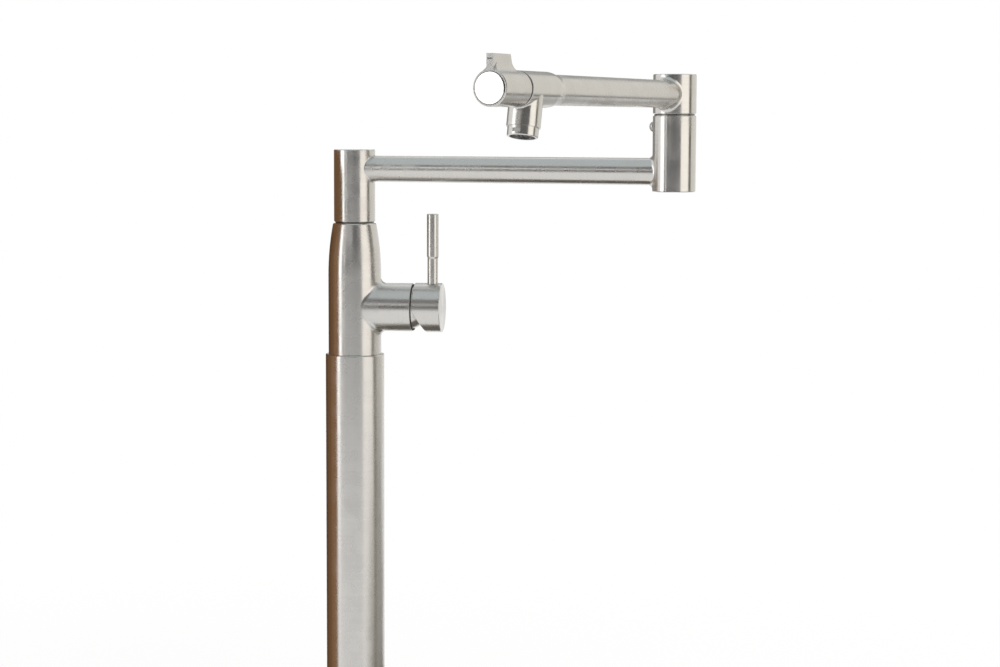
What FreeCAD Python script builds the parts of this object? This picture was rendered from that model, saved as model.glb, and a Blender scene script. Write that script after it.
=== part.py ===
import FreeCAD, Part
import Sketcher
import math
import os
import re

doc = FreeCAD.newDocument("pillar_tap")

# Driving dimensions in millimetres and degrees
SIZES = {
    # base and worktop fixing
    "worktop_gap": 30.0,
    "gasket_height": 2.0,
    "gasket_inset": 1.5,
    "flange_lip": 5.0,
    "flange_height": 8.0,
    "flange_web": 4.0,
    "boss_height": 16.0,
    "shank_wall": 3.0,
    "shank_drop": 62.0,
    "collar_lip": 4.0,
    "collar_height": 4.0,
    "washer_od": 56.0,
    "rubber_height": 3.0,
    "washer_height": 2.5,
    "nut_width": 46.0,
    "nut_height": 12.0,
    "inlet_block_height": 14.0,
    "block_wall": 1.0,
    "inlet_bore": 9.0,
    "inlet_depth": 9.0,
    "riser_od": 10.0,
    "riser_wall": 1.0,
    "riser_spacing": 14.0,
    "riser_socket": 12.0,
    "riser_seat": 1.0,
    # column
    "arm_height": 500.0,
    "pillar_od": 50.0,
    "pillar_wall": 2.3,
    "pillar_edge": 1.2,
    "body_rise": 111.7,
    "body_insert": 25.0,
    "neck_step": 1.0,
    "valve_rise": 40.2,
    "branch_step": 2.0,
    "branch_wall": 2.8,
    "branch_rim": 6.4,
    "branch_fillet": 5.0,
    "branch_clear": 1.3,
    "cartridge_floor": 18.0,
    "port_bore": 6.0,
    "outlet_port_bore": 14.0,
    "inlet_port_drop": 5.0,
    "outlet_port_rise": 7.5,
    "cross_port_step": 0.3,
    "port_overrun": 1.0,
    # mixer cartridge and lever
    "seal_height": 1.0,
    "cartridge_base": 3.0,
    "cartridge_wall": 3.2,
    "disc_height": 4.0,
    "moving_disc_od": 19.0,
    "carrier_height": 3.0,
    "carrier_collar_od": 13.0,
    "driver_space": 5.0,
    "driver_clearance": 0.5,
    "nut_ring_height": 6.0,
    "nut_ring_wall": 5.4,
    "ball_seat": 3.0,
    "ball_drop": 10.0,
    "ball_od": 7.8,
    "stem_width": 8.0,
    "stem_depth": 7.0,
    "pin_od": 3.0,
    "dome_clearance": 0.5,
    "dome_seal_height": 0.8,
    "dome_seal_inset": 0.8,
    "cap_overhang": 0.4,
    "cap_wall": 1.65,
    "cap_gap": 2.0,
    "cap_length": 23.3,
    "hub_od": 14.0,
    "hub_rise": 12.0,
    "relief_angle": 28.5,
    "relief_drop": 1.5,
    "lever_inset": 8.3,
    "lever_sink": 0.95,
    "lever_od": 10.0,
    "lever_neck_od": 9.0,
    "lever_neck_length": 22.7,
    "lever_taper": 1.6,
    "lever_grip_length": 37.0,
    "stud_od": 6.0,
    "stud_length": 11.5,
    "cap_screw_length": 8.0,
    # swivel joints
    "knuckle_od": 35.0,
    "knuckle_wall": 4.5,
    "knuckle_height": 61.6,
    "arm_cover": 5.1,
    "end_wall": 5.0,
    "seam_chamfer": 0.9,
    "bearing_height": 0.8,
    "spigot_wall": 5.0,
    "spigot_length": 33.0,
    "spigot_thread_step": 1.0,
    "spigot_thread_length": 12.0,
    "ring_section": 2.6,
    "near_ring_drop": 18.0,
    "far_ring_drop": 25.0,
    "stop_groove_drop": 10.0,
    "stop_groove_play": 0.8,
    "stop_groove_depth": 2.5,
    "stop_screw_od": 5.0,
    "screw_point": 0.6,
    "screw_grip": 4.5,
    "screw_sink": 0.3,
    "screw_tip_play": 0.4,
    "socket_depth": 2.2,
    "button_od": 8.5,
    "button_height": 3.4,
    "button_edge": 0.8,
    "button_seat": 0.6,
    # arms
    "arm_od": 22.0,
    "arm_wall": 1.5,
    "arm_length": 280.0,
    "stub_length": 6.5,
    "weld_fillet": 4.0,
    "head_fillet": 1.2,
    "swing_angle": -12.0,
    "fold_angle": -96.9,
    # outlet valve
    "outlet_reach": 280.0,
    "tee_tail": 32.0,
    "tee_lip": 1.03,
    "shoulder_length": 15.0,
    "valve_step": 1.7,
    "headwork_step": 0.5,
    "headwork_length": 34.0,
    "headwork_wall": 2.5,
    "headwork_neck": 8.0,
    "headwork_port": 10.0,
    "headwork_port_back": 2.0,
    "headwork_nose": 4.0,
    "ceramic_height": 3.0,
    "water_way_bore": 4.4,
    "water_way_offset": 3.6,
    "head_ring_section": 1.8,
    "head_ring_back": 4.8,
    "outlet_step": 0.7,
    "outlet_drop": 27.3,
    "outlet_tilt": 12.0,
    "outlet_fillet": 1.5,
    "aerator_step": 1.0,
    "aerator_drop": 6.7,
    "aerator_thread_step": 0.5,
    "aerator_thread_length": 9.0,
    "aerator_wall": 1.3,
    "aerator_washer": 1.0,
    "aerator_floor": 1.2,
    "aerator_insert_drop": 2.0,
    "key_flat_width": 6.0,
    "key_flat_height": 2.6,
    "key_flat_depth": 0.8,
    "jet_bore": 1.8,
    # outlet handle
    "handle_gap": 1.1,
    "handle_length": 41.4,
    "handle_recess": 12.0,
    "handle_web": 10.0,
    "handle_wall": 3.5,
    "handle_rim": 1.3,
    "handle_cap_height": 3.0,
    "tab_thickness": 5.2,
    "tab_rise": 10.6,
    "tab_length": 27.0,
    "tab_flare": 9.5,
    "tab_heel": 4.0,
    "mark_height": 1.2,
    "mark_drop": 2.9,
    "mark_depth": 0.6,
    "button_rise": 0.8,
    "spindle_od": 7.0,
    "spindle_lip": 1.1,
    "spindle_lip_height": 2.5,
    "handle_screw_od": 2.9,
    "handle_screw_length": 7.0,
    "handle_screw_head_od": 7.2,
    "handle_screw_head": 3.0,
    "handle_screw_key": 2.5,
    "handle_screw_socket": 1.6,
    # edges and clearances
    "edge_break": 0.4,
    "end_chamfer": 0.5,
    "foot_chamfer": 0.8,
    "flange_chamfer": 1.5,
    "fit_clearance": 0.05,
    "slip_clearance": 0.2,
    "running_clearance": 0.3,
}

# Places and fits that follow from the driving dimensions
PLACES = {
    # base and worktop fixing
    "flange_od": "pillar_od + 2 * flange_lip",
    "gasket_od": "flange_od - 2 * gasket_inset",
    "flange_top": "gasket_height + flange_height",
    "tube_foot": "gasket_height + flange_web",
    "boss_top": "tube_foot + boss_height",
    "shank_bore": "riser_spacing + riser_od + 2 * block_wall",
    "shank_od": "shank_bore + 2 * shank_wall",
    "collar_od": "shank_od + 2 * collar_lip",
    "rubber_foot": "-worktop_gap - rubber_height",
    "washer_foot": "rubber_foot - washer_height",
    "nut_foot": "washer_foot - nut_height",
    # swivel joints
    "spigot_od": "knuckle_od - 2 * knuckle_wall",
    "spigot_bore": "spigot_od - 2 * spigot_wall",
    "spigot_thread_od": "spigot_od - 2 * spigot_thread_step",
    "swivel_bore": "spigot_od + 2 * running_clearance",
    "stop_groove_width": "stop_screw_od + stop_groove_play",
    "arm_inset": "arm_od / 2 + arm_cover",
    "arm_bore": "arm_od - 2 * arm_wall",
    "arm_rise": "knuckle_height + bearing_height",
    "stub_reach": "knuckle_od / 2 + stub_length",
    "head_foot": "arm_inset - knuckle_height",
    # column
    "pillar_bore": "pillar_od - 2 * pillar_wall",
    "body_od": "pillar_bore - 2 * slip_clearance",
    "neck_od": "knuckle_od + 2 * neck_step",
    "body_top": "arm_height + head_foot - bearing_height",
    "tube_top": "body_top - body_rise",
    "body_foot": "tube_top - body_insert",
    "valve_height": "tube_top + valve_rise",
    "branch_od": "body_od - 2 * branch_step",
    "ogive_height": "body_rise - valve_rise - branch_od / 2 - branch_fillet - branch_clear - seam_chamfer",
    "cartridge_bore": "branch_od - 2 * branch_wall",
    "cross_port_bore": "port_bore - 2 * cross_port_step",
    # mixer cartridge and lever
    "housing_foot": "cartridge_floor + seal_height",
    "disc_foot": "housing_foot + cartridge_base",
    "slide_foot": "disc_foot + disc_height",
    "carrier_foot": "slide_foot + disc_height",
    "carrier_top": "carrier_foot + carrier_height",
    "housing_top": "carrier_top + driver_space",
    "nut_ring_bore": "cartridge_bore - 2 * nut_ring_wall",
    "nut_ring_top": "housing_top + nut_ring_height",
    "driver_od": "nut_ring_bore - 2 * driver_clearance",
    "pivot_reach": "carrier_top + ball_seat + ball_drop",
    "branch_reach": "nut_ring_top + branch_rim",
    "cap_od": "branch_od + 2 * cap_overhang",
    "cap_start": "branch_reach + cap_gap",
    "cap_reach": "cap_start + cap_length",
    "cavity_radius": "cap_od / 2 - cap_wall",
    "dome_radius": "cavity_radius - dome_clearance",
    "dome_reach": "pivot_reach + 0.59 * dome_radius",
    "dome_bore": "1.44 * dome_radius",
    "dome_foot_radius": "sqrt(dome_radius ^ 2 - (branch_reach - pivot_reach) ^ 2)",
    "hub_reach": "pivot_reach + hub_rise",
    "lever_reach": "cap_reach - lever_inset",
    "lever_seat": "cap_od / 2 - lever_sink",
    "lever_neck_top": "lever_seat + lever_neck_length",
    "lever_top": "lever_neck_top + lever_grip_length",
    # outlet valve
    "valve_od": "arm_od + 2 * valve_step",
    "outlet_od": "valve_od - 2 * outlet_step",
    "nozzle_front": "outlet_od / 2 / cos(outlet_tilt * 1 deg) + valve_od / 2 * tan(outlet_tilt * 1 deg)",
    "valve_start": "outlet_reach - outlet_od / 2 - tee_tail",
    "valve_end": "outlet_reach + nozzle_front + tee_lip",
    "headwork_bore": "arm_bore + 2 * headwork_step",
    "headwork_start": "valve_end - headwork_length",
    "turning_foot": "headwork_start + ceramic_height",
    "spindle_foot": "turning_foot + ceramic_height",
    "aerator_od": "outlet_od - 2 * aerator_step",
    "aerator_bottom": "outlet_drop + aerator_drop",
    "aerator_thread_od": "aerator_od - 2 * aerator_thread_step",
    "aerator_bore": "aerator_thread_od - 2 * aerator_wall",
    "outlet_bore": "aerator_bore - 2 * slip_clearance",
    # outlet handle
    "handle_start": "valve_end + handle_gap",
    "handle_end": "handle_start + handle_length",
    "handle_web_end": "handle_end - handle_recess",
    "button_top": "handle_end + button_rise",
    "handle_web_start": "handle_web_end - handle_web",
    "handle_bore": "valve_od - 2 * handle_wall",
    "handle_recess_od": "valve_od - 2 * handle_rim",
    "handle_cap_od": "handle_recess_od - 2 * running_clearance",
    "tab_start": "handle_end - tab_length",
    "tab_top": "valve_od / 2 + tab_rise",
    "spindle_square": "0.65 * spindle_od",
}

# The sheets of sizes and places
sheet = doc.addObject("Spreadsheet::Sheet", "sizes")
for row, (name, value) in enumerate(SIZES.items(), 1):
    sheet.set("A%d" % row, name)
    sheet.set("B%d" % row, str(value))
    sheet.setAlias("B%d" % row, name)
doc.recompute()

WORD = re.compile(r"[a-z][a-z_]*[a-z]")


def expression(text, places_sheet="places."):
    """Put the sheet's name before every size and place named in a formula."""
    def named(match):
        word = match.group(0)
        if word in SIZES:
            return "sizes." + word
        if word in PLACES:
            return places_sheet + word
        return word
    return WORD.sub(named, str(text))


places = doc.addObject("Spreadsheet::Sheet", "places")
for row, (name, formula) in enumerate(PLACES.items(), 1):
    places.set("A%d" % row, name)
    places.set("B%d" % row, "=" + expression(formula, places_sheet=""))
    places.setAlias("B%d" % row, name)
doc.recompute()


def number(text):
    """Value of a formula with the sizes as they stand."""
    return float(sheet.evalExpression(expression(text)))


# Frames that the pieces are placed in
COLUMN = "placement(vector(0; 0; 0); rotation(vector(0; 0; 1); 0))"
VALVE = "placement(vector(0; 0; valve_height); rotation(vector(0; 0; 1); 0))"
HEAD = "placement(vector(0; 0; arm_height); rotation(vector(0; 0; 1); swing_angle))"
ELBOW_X = "arm_length * cos(swing_angle * 1 deg)"
ELBOW_Y = "arm_length * sin(swing_angle * 1 deg)"
KNUCKLE = ("placement(vector(" + ELBOW_X + "; " + ELBOW_Y + "; arm_height); "
           "rotation(vector(0; 0; 1); swing_angle))")
UPPER = ("placement(vector(" + ELBOW_X + "; " + ELBOW_Y + "; arm_height + arm_rise); "
         "rotation(vector(0; 0; 1); swing_angle + fold_angle))")
OUTLET = (UPPER + " * placement(vector(outlet_reach; 0; 0); rotation(vector(0; 1; 0); -outlet_tilt))")

pieces = []


def new_body(label, frame):
    """Start a named piece and bind its place to the sizes."""
    body = doc.addObject("PartDesign::Body", label)
    body.Label = label
    body.setExpression("Placement", expression(frame))
    pieces.append(body)
    return body


def plane_of(body, role):
    """Return one of the body's own origin planes."""
    for feature in body.Origin.OriginFeatures:
        if feature.Role == role:
            return feature
    raise ValueError(role)


def new_sketch(body, role, offset=None):
    """Start a sketch on an origin plane, moved by a bound offset if one is given."""
    sketch = body.newObject("Sketcher::SketchObject", body.Label + "_sketch")
    sketch.AttachmentSupport = [(plane_of(body, role), "")]
    sketch.MapMode = "FlatFace"
    if offset:
        sketch.setExpression("AttachmentOffset", expression(offset))
    return sketch


def bind(sketch, kind, geometry, end, formula, value):
    """Hold one coordinate of a point to a formula."""
    if abs(value) < 1e-9:
        axis = -2 if kind == "DistanceX" else -1
        sketch.addConstraint(Sketcher.Constraint("PointOnObject", geometry, end, axis))
        return
    index = sketch.addConstraint(Sketcher.Constraint(kind, -1, 1, geometry, end, value))
    sketch.setExpression("Constraints[%d]" % index, expression(formula))


def draw_outline(sketch, corners):
    """Draw a closed outline; a corner with a radius and a side starts an arc."""
    spots = [(number(corner[0]), number(corner[1])) for corner in corners]
    ends = []
    count = len(corners)
    for place, corner in enumerate(corners):
        start = FreeCAD.Vector(spots[place][0], spots[place][1], 0)
        after = spots[(place + 1) % count]
        stop = FreeCAD.Vector(after[0], after[1], 0)
        if len(corner) == 2:
            geometry = sketch.addGeometry(Part.LineSegment(start, stop), False)
            ends.append((geometry, 1, 2))
            continue
        radius = number(corner[2])
        side = corner[3]
        chord = stop.sub(start)
        across = FreeCAD.Vector(-chord.y, chord.x, 0).normalize()
        rise = math.sqrt(max(radius ** 2 - (chord.Length / 2) ** 2, 0.0))
        middle = start.add(stop).multiply(0.5).add(across.multiply(side * rise))
        first, last = (start, stop) if side > 0 else (stop, start)
        turn_first = math.atan2(first.y - middle.y, first.x - middle.x)
        turn_last = math.atan2(last.y - middle.y, last.x - middle.x)
        circle = Part.Circle(middle, FreeCAD.Vector(0, 0, 1), radius)
        geometry = sketch.addGeometry(Part.ArcOfCircle(circle, turn_first, turn_last), False)
        ends.append((geometry, 1, 2) if side > 0 else (geometry, 2, 1))
    for place in range(count):
        this, following = ends[place], ends[(place + 1) % count]
        sketch.addConstraint(Sketcher.Constraint("Coincident", this[0], this[2], following[0], following[1]))
    for place, corner in enumerate(corners):
        geometry, end = ends[place][0], ends[place][1]
        bind(sketch, "DistanceX", geometry, end, corner[0], spots[place][0])
        bind(sketch, "DistanceY", geometry, end, corner[1], spots[place][1])
        if len(corner) > 2:
            index = sketch.addConstraint(Sketcher.Constraint("Radius", geometry, number(corner[2])))
            sketch.setExpression("Constraints[%d]" % index, expression(corner[2]))


def draw_circle(sketch, across, along, diameter):
    """Draw a circle with its centre and diameter held to formulas."""
    middle = FreeCAD.Vector(number(across), number(along), 0)
    circle = Part.Circle(middle, FreeCAD.Vector(0, 0, 1), number(diameter) / 2)
    geometry = sketch.addGeometry(circle, False)
    bind(sketch, "DistanceX", geometry, 3, across, middle.x)
    bind(sketch, "DistanceY", geometry, 3, along, middle.y)
    index = sketch.addConstraint(Sketcher.Constraint("Diameter", geometry, number(diameter)))
    sketch.setExpression("Constraints[%d]" % index, expression(diameter))


def turn(body, corners, axis):
    """Add a turned form from half its section."""
    sketch = new_sketch(body, "XZ_Plane")
    draw_outline(sketch, corners)
    feature = body.newObject("PartDesign::Revolution", body.Label + "_turned")
    feature.Profile = sketch
    feature.ReferenceAxis = (sketch, [axis])
    feature.Angle = 360
    doc.recompute()
    return feature


def turn_away(body, corners, axis):
    """Cut a turned form out of a body."""
    sketch = new_sketch(body, "XZ_Plane")
    draw_outline(sketch, corners)
    feature = body.newObject("PartDesign::Groove", body.Label + "_groove")
    feature.Profile = sketch
    feature.ReferenceAxis = (sketch, [axis])
    feature.Angle = 360
    doc.recompute()
    return feature


def pad(body, sketch, length, both=False, back=False):
    """Add the sketch drawn out to a length."""
    feature = body.newObject("PartDesign::Pad", body.Label + "_pad")
    feature.Profile = sketch
    feature.setExpression("Length", expression(length))
    feature.Midplane = both
    feature.Reversed = back
    doc.recompute()
    return feature


def pocket(body, sketch, length, both=False, back=False):
    """Cut the sketch to a depth."""
    feature = body.newObject("PartDesign::Pocket", body.Label + "_pocket")
    feature.Profile = sketch
    feature.setExpression("Length", expression(length))
    feature.Midplane = both
    feature.Reversed = back
    before = feature.BaseFeature.Shape.Volume
    doc.recompute()
    if feature.Shape.Volume >= before - 1e-6:
        raise RuntimeError(body.Label + " pocket cuts nothing")
    return feature


def drill(body, role, across, along, diameter, length, back=False, offset=None, both=False):
    """Cut a round hole from an origin plane."""
    sketch = new_sketch(body, role, offset)
    draw_circle(sketch, across, along, diameter)
    return pocket(body, sketch, length, both, back)


def hexagon(width):
    """Corners of a hexagon given across its flats."""
    wide = width + " / 2"
    tall = width + " / sqrt(3)"
    return [("-(%s)" % wide, "-(%s) / 2" % tall), ("0", "-(%s)" % tall), (wide, "-(%s) / 2" % tall),
            (wide, "(%s) / 2" % tall), ("0", tall), ("-(%s)" % wide, "(%s) / 2" % tall)]


def rectangle(left, right, low, high):
    """Corners of an upright rectangle."""
    return [(left, low), (right, low), (right, high), (left, high)]


def tube(label, frame, inner, outer, low, high, axis="V_Axis"):
    """A plain ring or tube between two radii."""
    body = new_body(label, frame)
    corners = rectangle(inner, outer, low, high)
    if axis == "H_Axis":
        corners = rectangle(low, high, inner, outer)
    turn(body, corners, axis)
    return body


def edges_where(feature, test):
    """Names of the feature's edges whose sampled points all pass a test."""
    names = []
    for place, edge in enumerate(feature.Shape.Edges, 1):
        points = edge.discretize(7)
        if all(test(point) for point in points):
            names.append("Edge%d" % place)
    if not names:
        raise RuntimeError(feature.Label + " has no such edge")
    return names


def round_edges(body, feature, test, radius):
    """Fillet the edges that pass a test."""
    fillet = body.newObject("PartDesign::Fillet", body.Label + "_fillet")
    fillet.Base = (feature, edges_where(feature, test))
    fillet.setExpression("Radius", expression(radius))
    doc.recompute()
    return fillet


def off_axis(first, second):
    """Distance of a point from an axis, given its two offsets."""
    return math.hypot(first, second)


# Fixing to the worktop
tube("base_gasket", COLUMN, "shank_od / 2 + running_clearance", "gasket_od / 2", "0", "gasket_height")

flange = new_body("base_flange", COLUMN)
turn(flange, [
    ("shank_od / 2 + slip_clearance", "gasket_height"),
    ("flange_od / 2", "gasket_height"),
    ("flange_od / 2", "flange_top - flange_chamfer"),
    ("flange_od / 2 - flange_chamfer", "flange_top"),
    ("pillar_od / 2 + slip_clearance", "flange_top"),
    ("pillar_od / 2 + slip_clearance", "tube_foot"),
    ("pillar_bore / 2 - slip_clearance", "tube_foot"),
    ("pillar_bore / 2 - slip_clearance", "boss_top"),
    ("shank_od / 2 + slip_clearance", "boss_top"),
], "V_Axis")

shank = new_body("mounting_shank", COLUMN)
turn(shank, [
    ("shank_bore / 2", "-shank_drop"),
    ("shank_od / 2 - foot_chamfer", "-shank_drop"),
    ("shank_od / 2", "foot_chamfer - shank_drop"),
    ("shank_od / 2", "boss_top"),
    ("collar_od / 2", "boss_top"),
    ("collar_od / 2", "boss_top + collar_height"),
    ("shank_bore / 2", "boss_top + collar_height"),
], "V_Axis")

tube("clamp_rubber_washer", COLUMN, "shank_od / 2 + running_clearance", "washer_od / 2", "rubber_foot",
     "-worktop_gap")
tube("clamp_washer", COLUMN, "shank_od / 2 + running_clearance", "washer_od / 2", "washer_foot",
     "rubber_foot")

lock_nut = new_body("lock_nut", COLUMN)
nut_sketch = new_sketch(lock_nut, "XY_Plane",
                        "placement(vector(0; 0; nut_foot); rotation(vector(0; 0; 1); 0))")
draw_outline(nut_sketch, hexagon("nut_width"))
pad(lock_nut, nut_sketch, "nut_height")
drill(lock_nut, "XY_Plane", "0", "0", "shank_od + 2 * fit_clearance", "nut_height",
      offset="placement(vector(0; 0; washer_foot); rotation(vector(0; 0; 1); 0))")

inlet_block = new_body("inlet_block", COLUMN)
turn(inlet_block, rectangle("0", "shank_bore / 2 - fit_clearance", "-shank_drop",
                            "inlet_block_height - shank_drop"), "V_Axis")
for side in ("1", "-1"):
    spot = side + " * riser_spacing / 2"
    drill(inlet_block, "XY_Plane", "0", spot, "inlet_bore", "inlet_depth", back=True,
          offset="placement(vector(0; 0; -shank_drop); rotation(vector(0; 0; 1); 0))")
    drill(inlet_block, "XY_Plane", "0", spot, "riser_od - 2 * riser_wall", "inlet_block_height",
          offset="placement(vector(0; 0; inlet_block_height - shank_drop); rotation(vector(0; 0; 1); 0))")
    drill(inlet_block, "XY_Plane", "0", spot, "riser_od + 2 * fit_clearance",
          "inlet_block_height - inlet_depth - riser_seat",
          offset="placement(vector(0; 0; inlet_block_height - shank_drop); rotation(vector(0; 0; 1); 0))")

RISER_FOOT = "inlet_depth + riser_seat - shank_drop"
for label, side in (("hot_riser", "1"), ("cold_riser", "-1")):
    frame = ("placement(vector(0; " + side + " * riser_spacing / 2; 0); rotation(vector(0; 0; 1); 0))")
    tube(label, frame, "riser_od / 2 - riser_wall", "riser_od / 2", RISER_FOOT, "body_foot + riser_socket")

# Column
pillar = new_body("pillar_tube", COLUMN)
turn(pillar, [
    ("pillar_bore / 2", "tube_foot"),
    ("pillar_od / 2", "tube_foot"),
    ("pillar_od / 2", "tube_top - pillar_edge", "pillar_edge", 1),
    ("pillar_od / 2 - pillar_edge", "tube_top"),
    ("pillar_bore / 2", "tube_top"),
], "V_Axis")
drill(pillar, "XZ_Plane", "0", "tube_top - body_insert / 2", "stop_screw_od + 2 * fit_clearance", "pillar_od")

body = new_body("valve_body", COLUMN)
OGIVE_DEPTH = "(body_od / 2 - neck_od / 2)"
OGIVE_RADIUS = "((ogive_height ^ 2 + " + OGIVE_DEPTH + " ^ 2) / (2 * " + OGIVE_DEPTH + "))"
turn(body, [
    ("0", "body_foot"),
    ("body_od / 2 - foot_chamfer", "body_foot"),
    ("body_od / 2", "body_foot + foot_chamfer"),
    ("body_od / 2", "body_top - seam_chamfer - ogive_height", OGIVE_RADIUS, 1),
    ("neck_od / 2", "body_top - seam_chamfer"),
    ("neck_od / 2 - seam_chamfer", "body_top"),
    ("0", "body_top"),
], "V_Axis")
branch_sketch = new_sketch(body, "YZ_Plane")
draw_circle(branch_sketch, "0", "valve_height", "branch_od")
branch = pad(body, branch_sketch, "branch_reach")
BODY_RADIUS = number("body_od / 2")
BRANCH_RADIUS = number("branch_od / 2")
VALVE_Z = number("valve_height")
BRANCH_END = number("branch_reach")


def branch_seam(point):
    """True for a point where the branch meets the round of the valve body."""
    return (point.x > 0 and abs(off_axis(point.x, point.y) - BODY_RADIUS) < 0.9
            and abs(off_axis(point.y, point.z - VALVE_Z) - BRANCH_RADIUS) < 0.05)


def branch_rim(point):
    """True for a point on the outer edge of the branch."""
    return (abs(point.x - BRANCH_END) < 0.01
            and abs(off_axis(point.y, point.z - VALVE_Z) - BRANCH_RADIUS) < 0.05)


joined = round_edges(body, branch, branch_seam, "branch_fillet")
round_edges(body, joined, branch_rim, "edge_break")
drill(body, "YZ_Plane", "0", "valve_height", "cartridge_bore", "branch_reach - cartridge_floor",
      offset="placement(vector(0; 0; branch_reach); rotation(vector(0; 0; 1); 0))")
drill(body, "XY_Plane", "0", "0", "spigot_thread_od + 2 * fit_clearance", "spigot_thread_length",
      offset="placement(vector(0; 0; body_top); rotation(vector(0; 0; 1); 0))")
drill(body, "XY_Plane", "0", "0", "outlet_port_bore",
      "body_top - valve_height - outlet_port_rise + port_bore / 2 + port_overrun",
      offset="placement(vector(0; 0; body_top); rotation(vector(0; 0; 1); 0))")
drill(body, "YZ_Plane", "0", "valve_height + outlet_port_rise", "cross_port_bore", "cartridge_floor",
      offset="placement(vector(0; 0; cartridge_floor); rotation(vector(0; 0; 1); 0))")
for side in ("1", "-1"):
    spot = side + " * riser_spacing / 2"
    drill(body, "XY_Plane", "0", spot, "riser_od + 2 * fit_clearance", "riser_socket", back=True,
          offset="placement(vector(0; 0; body_foot); rotation(vector(0; 0; 1); 0))")
    drill(body, "XY_Plane", "0", spot, "port_bore",
          "valve_height - inlet_port_drop + port_bore / 2 + port_overrun - body_foot",
          back=True, offset="placement(vector(0; 0; body_foot); rotation(vector(0; 0; 1); 0))")
    drill(body, "YZ_Plane", spot, "valve_height - inlet_port_drop", "cross_port_bore", "cartridge_floor",
          offset="placement(vector(0; 0; cartridge_floor); rotation(vector(0; 0; 1); 0))")
drill(body, "XZ_Plane", "0", "tube_top - body_insert / 2", "stop_screw_od + 2 * fit_clearance", "pillar_od",
      offset="placement(vector(0; 0; screw_grip - body_od / 2); rotation(vector(0; 0; 1); 0))")


def grub_screw(label, frame, length):
    """A socket set screw that lies along its own X axis, its point at the start."""
    screw = new_body(label, frame)
    turn(screw, [
        ("0", "0"),
        ("0", "stop_screw_od / 2 - screw_point"),
        ("screw_point", "stop_screw_od / 2"),
        (length + " - edge_break", "stop_screw_od / 2"),
        (length, "stop_screw_od / 2 - edge_break"),
        (length, "0"),
    ], "H_Axis")
    socket = new_sketch(screw, "YZ_Plane",
                        "placement(vector(0; 0; " + length + "); rotation(vector(0; 0; 1); 0))")
    draw_outline(socket, hexagon("(stop_screw_od / 2)"))
    pocket(screw, socket, "socket_depth")
    return screw


grub_screw("pillar_grub_screw",
           "placement(vector(0; body_od / 2 - screw_grip; tube_top - body_insert / 2); "
           "rotation(vector(0; 0; 1); 90))", "(screw_grip + slip_clearance + pillar_wall - screw_sink)")


def spigot(label, frame, way):
    """The hollow pin of a swivel joint, measured from the seam; way is 1 upward, -1 downward."""
    pin = new_body(label, frame)
    turn(pin, [
        ("spigot_bore / 2", way + " * -spigot_thread_length"),
        ("spigot_thread_od / 2", way + " * -spigot_thread_length"),
        ("spigot_thread_od / 2", "0"),
        ("spigot_od / 2", "0"),
        ("spigot_od / 2", way + " * (spigot_length - foot_chamfer)"),
        ("spigot_od / 2 - foot_chamfer", way + " * spigot_length"),
        ("spigot_bore / 2", way + " * spigot_length"),
    ], "V_Axis")
    turn_away(pin, rectangle("spigot_od / 2 - stop_groove_depth", "spigot_od / 2 + 1",
                             way + " * (stop_groove_drop - stop_groove_width / 2)",
                             way + " * (stop_groove_drop + stop_groove_width / 2)"), "V_Axis")
    for height in ("near_ring_drop", "far_ring_drop"):
        turn_away(pin, rectangle("spigot_od / 2 - ring_section", "spigot_od / 2 + 1",
                                 way + " * (%s - ring_section * 0.6)" % height,
                                 way + " * (%s + ring_section * 0.6)" % height), "V_Axis")
    return pin


def seal_ring(label, frame, height, outer):
    """An O-ring whose outside reaches the given radius."""
    ring = new_body(label, frame)
    sketch = new_sketch(ring, "XZ_Plane")
    draw_circle(sketch, "(%s) - ring_section / 2" % outer, height, "ring_section")
    feature = ring.newObject("PartDesign::Revolution", label + "_turned")
    feature.Profile = sketch
    feature.ReferenceAxis = (sketch, ["V_Axis"])
    feature.Angle = 360
    doc.recompute()
    return ring


SEAM = "placement(vector(0; 0; body_top); rotation(vector(0; 0; 1); 0))"
spigot("swivel_spigot", SEAM, "1")
seal_ring("swivel_oring_near", SEAM, "near_ring_drop", "spigot_od / 2 + running_clearance / 3")
seal_ring("swivel_oring_far", SEAM, "far_ring_drop", "spigot_od / 2 + running_clearance / 3")
tube("swivel_bearing", SEAM, "spigot_od / 2 + running_clearance", "knuckle_od / 2 - seam_chamfer - 0.3", "0",
     "bearing_height")

# Mixer cartridge
CARTRIDGE_RADIUS = "cartridge_bore / 2 - slip_clearance"
HOUSING_BORE = "cartridge_bore - 2 * slip_clearance - 2 * cartridge_wall"


def three_ports(piece, start, length):
    """Two inlet holes and one outlet hole through a cartridge piece."""
    offset = "placement(vector(0; 0; " + start + "); rotation(vector(0; 0; 1); 0))"
    drill(piece, "YZ_Plane", "riser_spacing / 2", "-inlet_port_drop", "port_bore - 1", length, offset=offset)
    drill(piece, "YZ_Plane", "-riser_spacing / 2", "-inlet_port_drop", "port_bore - 1", length, offset=offset)
    drill(piece, "YZ_Plane", "0", "outlet_port_rise", "port_bore - 1", length, offset=offset)


seal = new_body("cartridge_seal", VALVE)
turn(seal, rectangle("cartridge_floor", "housing_foot", "0", CARTRIDGE_RADIUS), "H_Axis")
three_ports(seal, "housing_foot", "seal_height")

housing = new_body("cartridge_housing", VALVE)
turn(housing, [
    ("housing_foot", "0"),
    ("housing_foot", CARTRIDGE_RADIUS),
    ("housing_top", CARTRIDGE_RADIUS),
    ("housing_top", "(" + HOUSING_BORE + ") / 2"),
    ("disc_foot", "(" + HOUSING_BORE + ") / 2"),
    ("disc_foot", "0"),
], "H_Axis")
three_ports(housing, "disc_foot", "cartridge_base")

fixed_disc = new_body("fixed_disc", VALVE)
turn(fixed_disc, rectangle("disc_foot", "slide_foot", "0", "(" + HOUSING_BORE + ") / 2 - slip_clearance"),
     "H_Axis")
three_ports(fixed_disc, "slide_foot", "disc_height")

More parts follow.
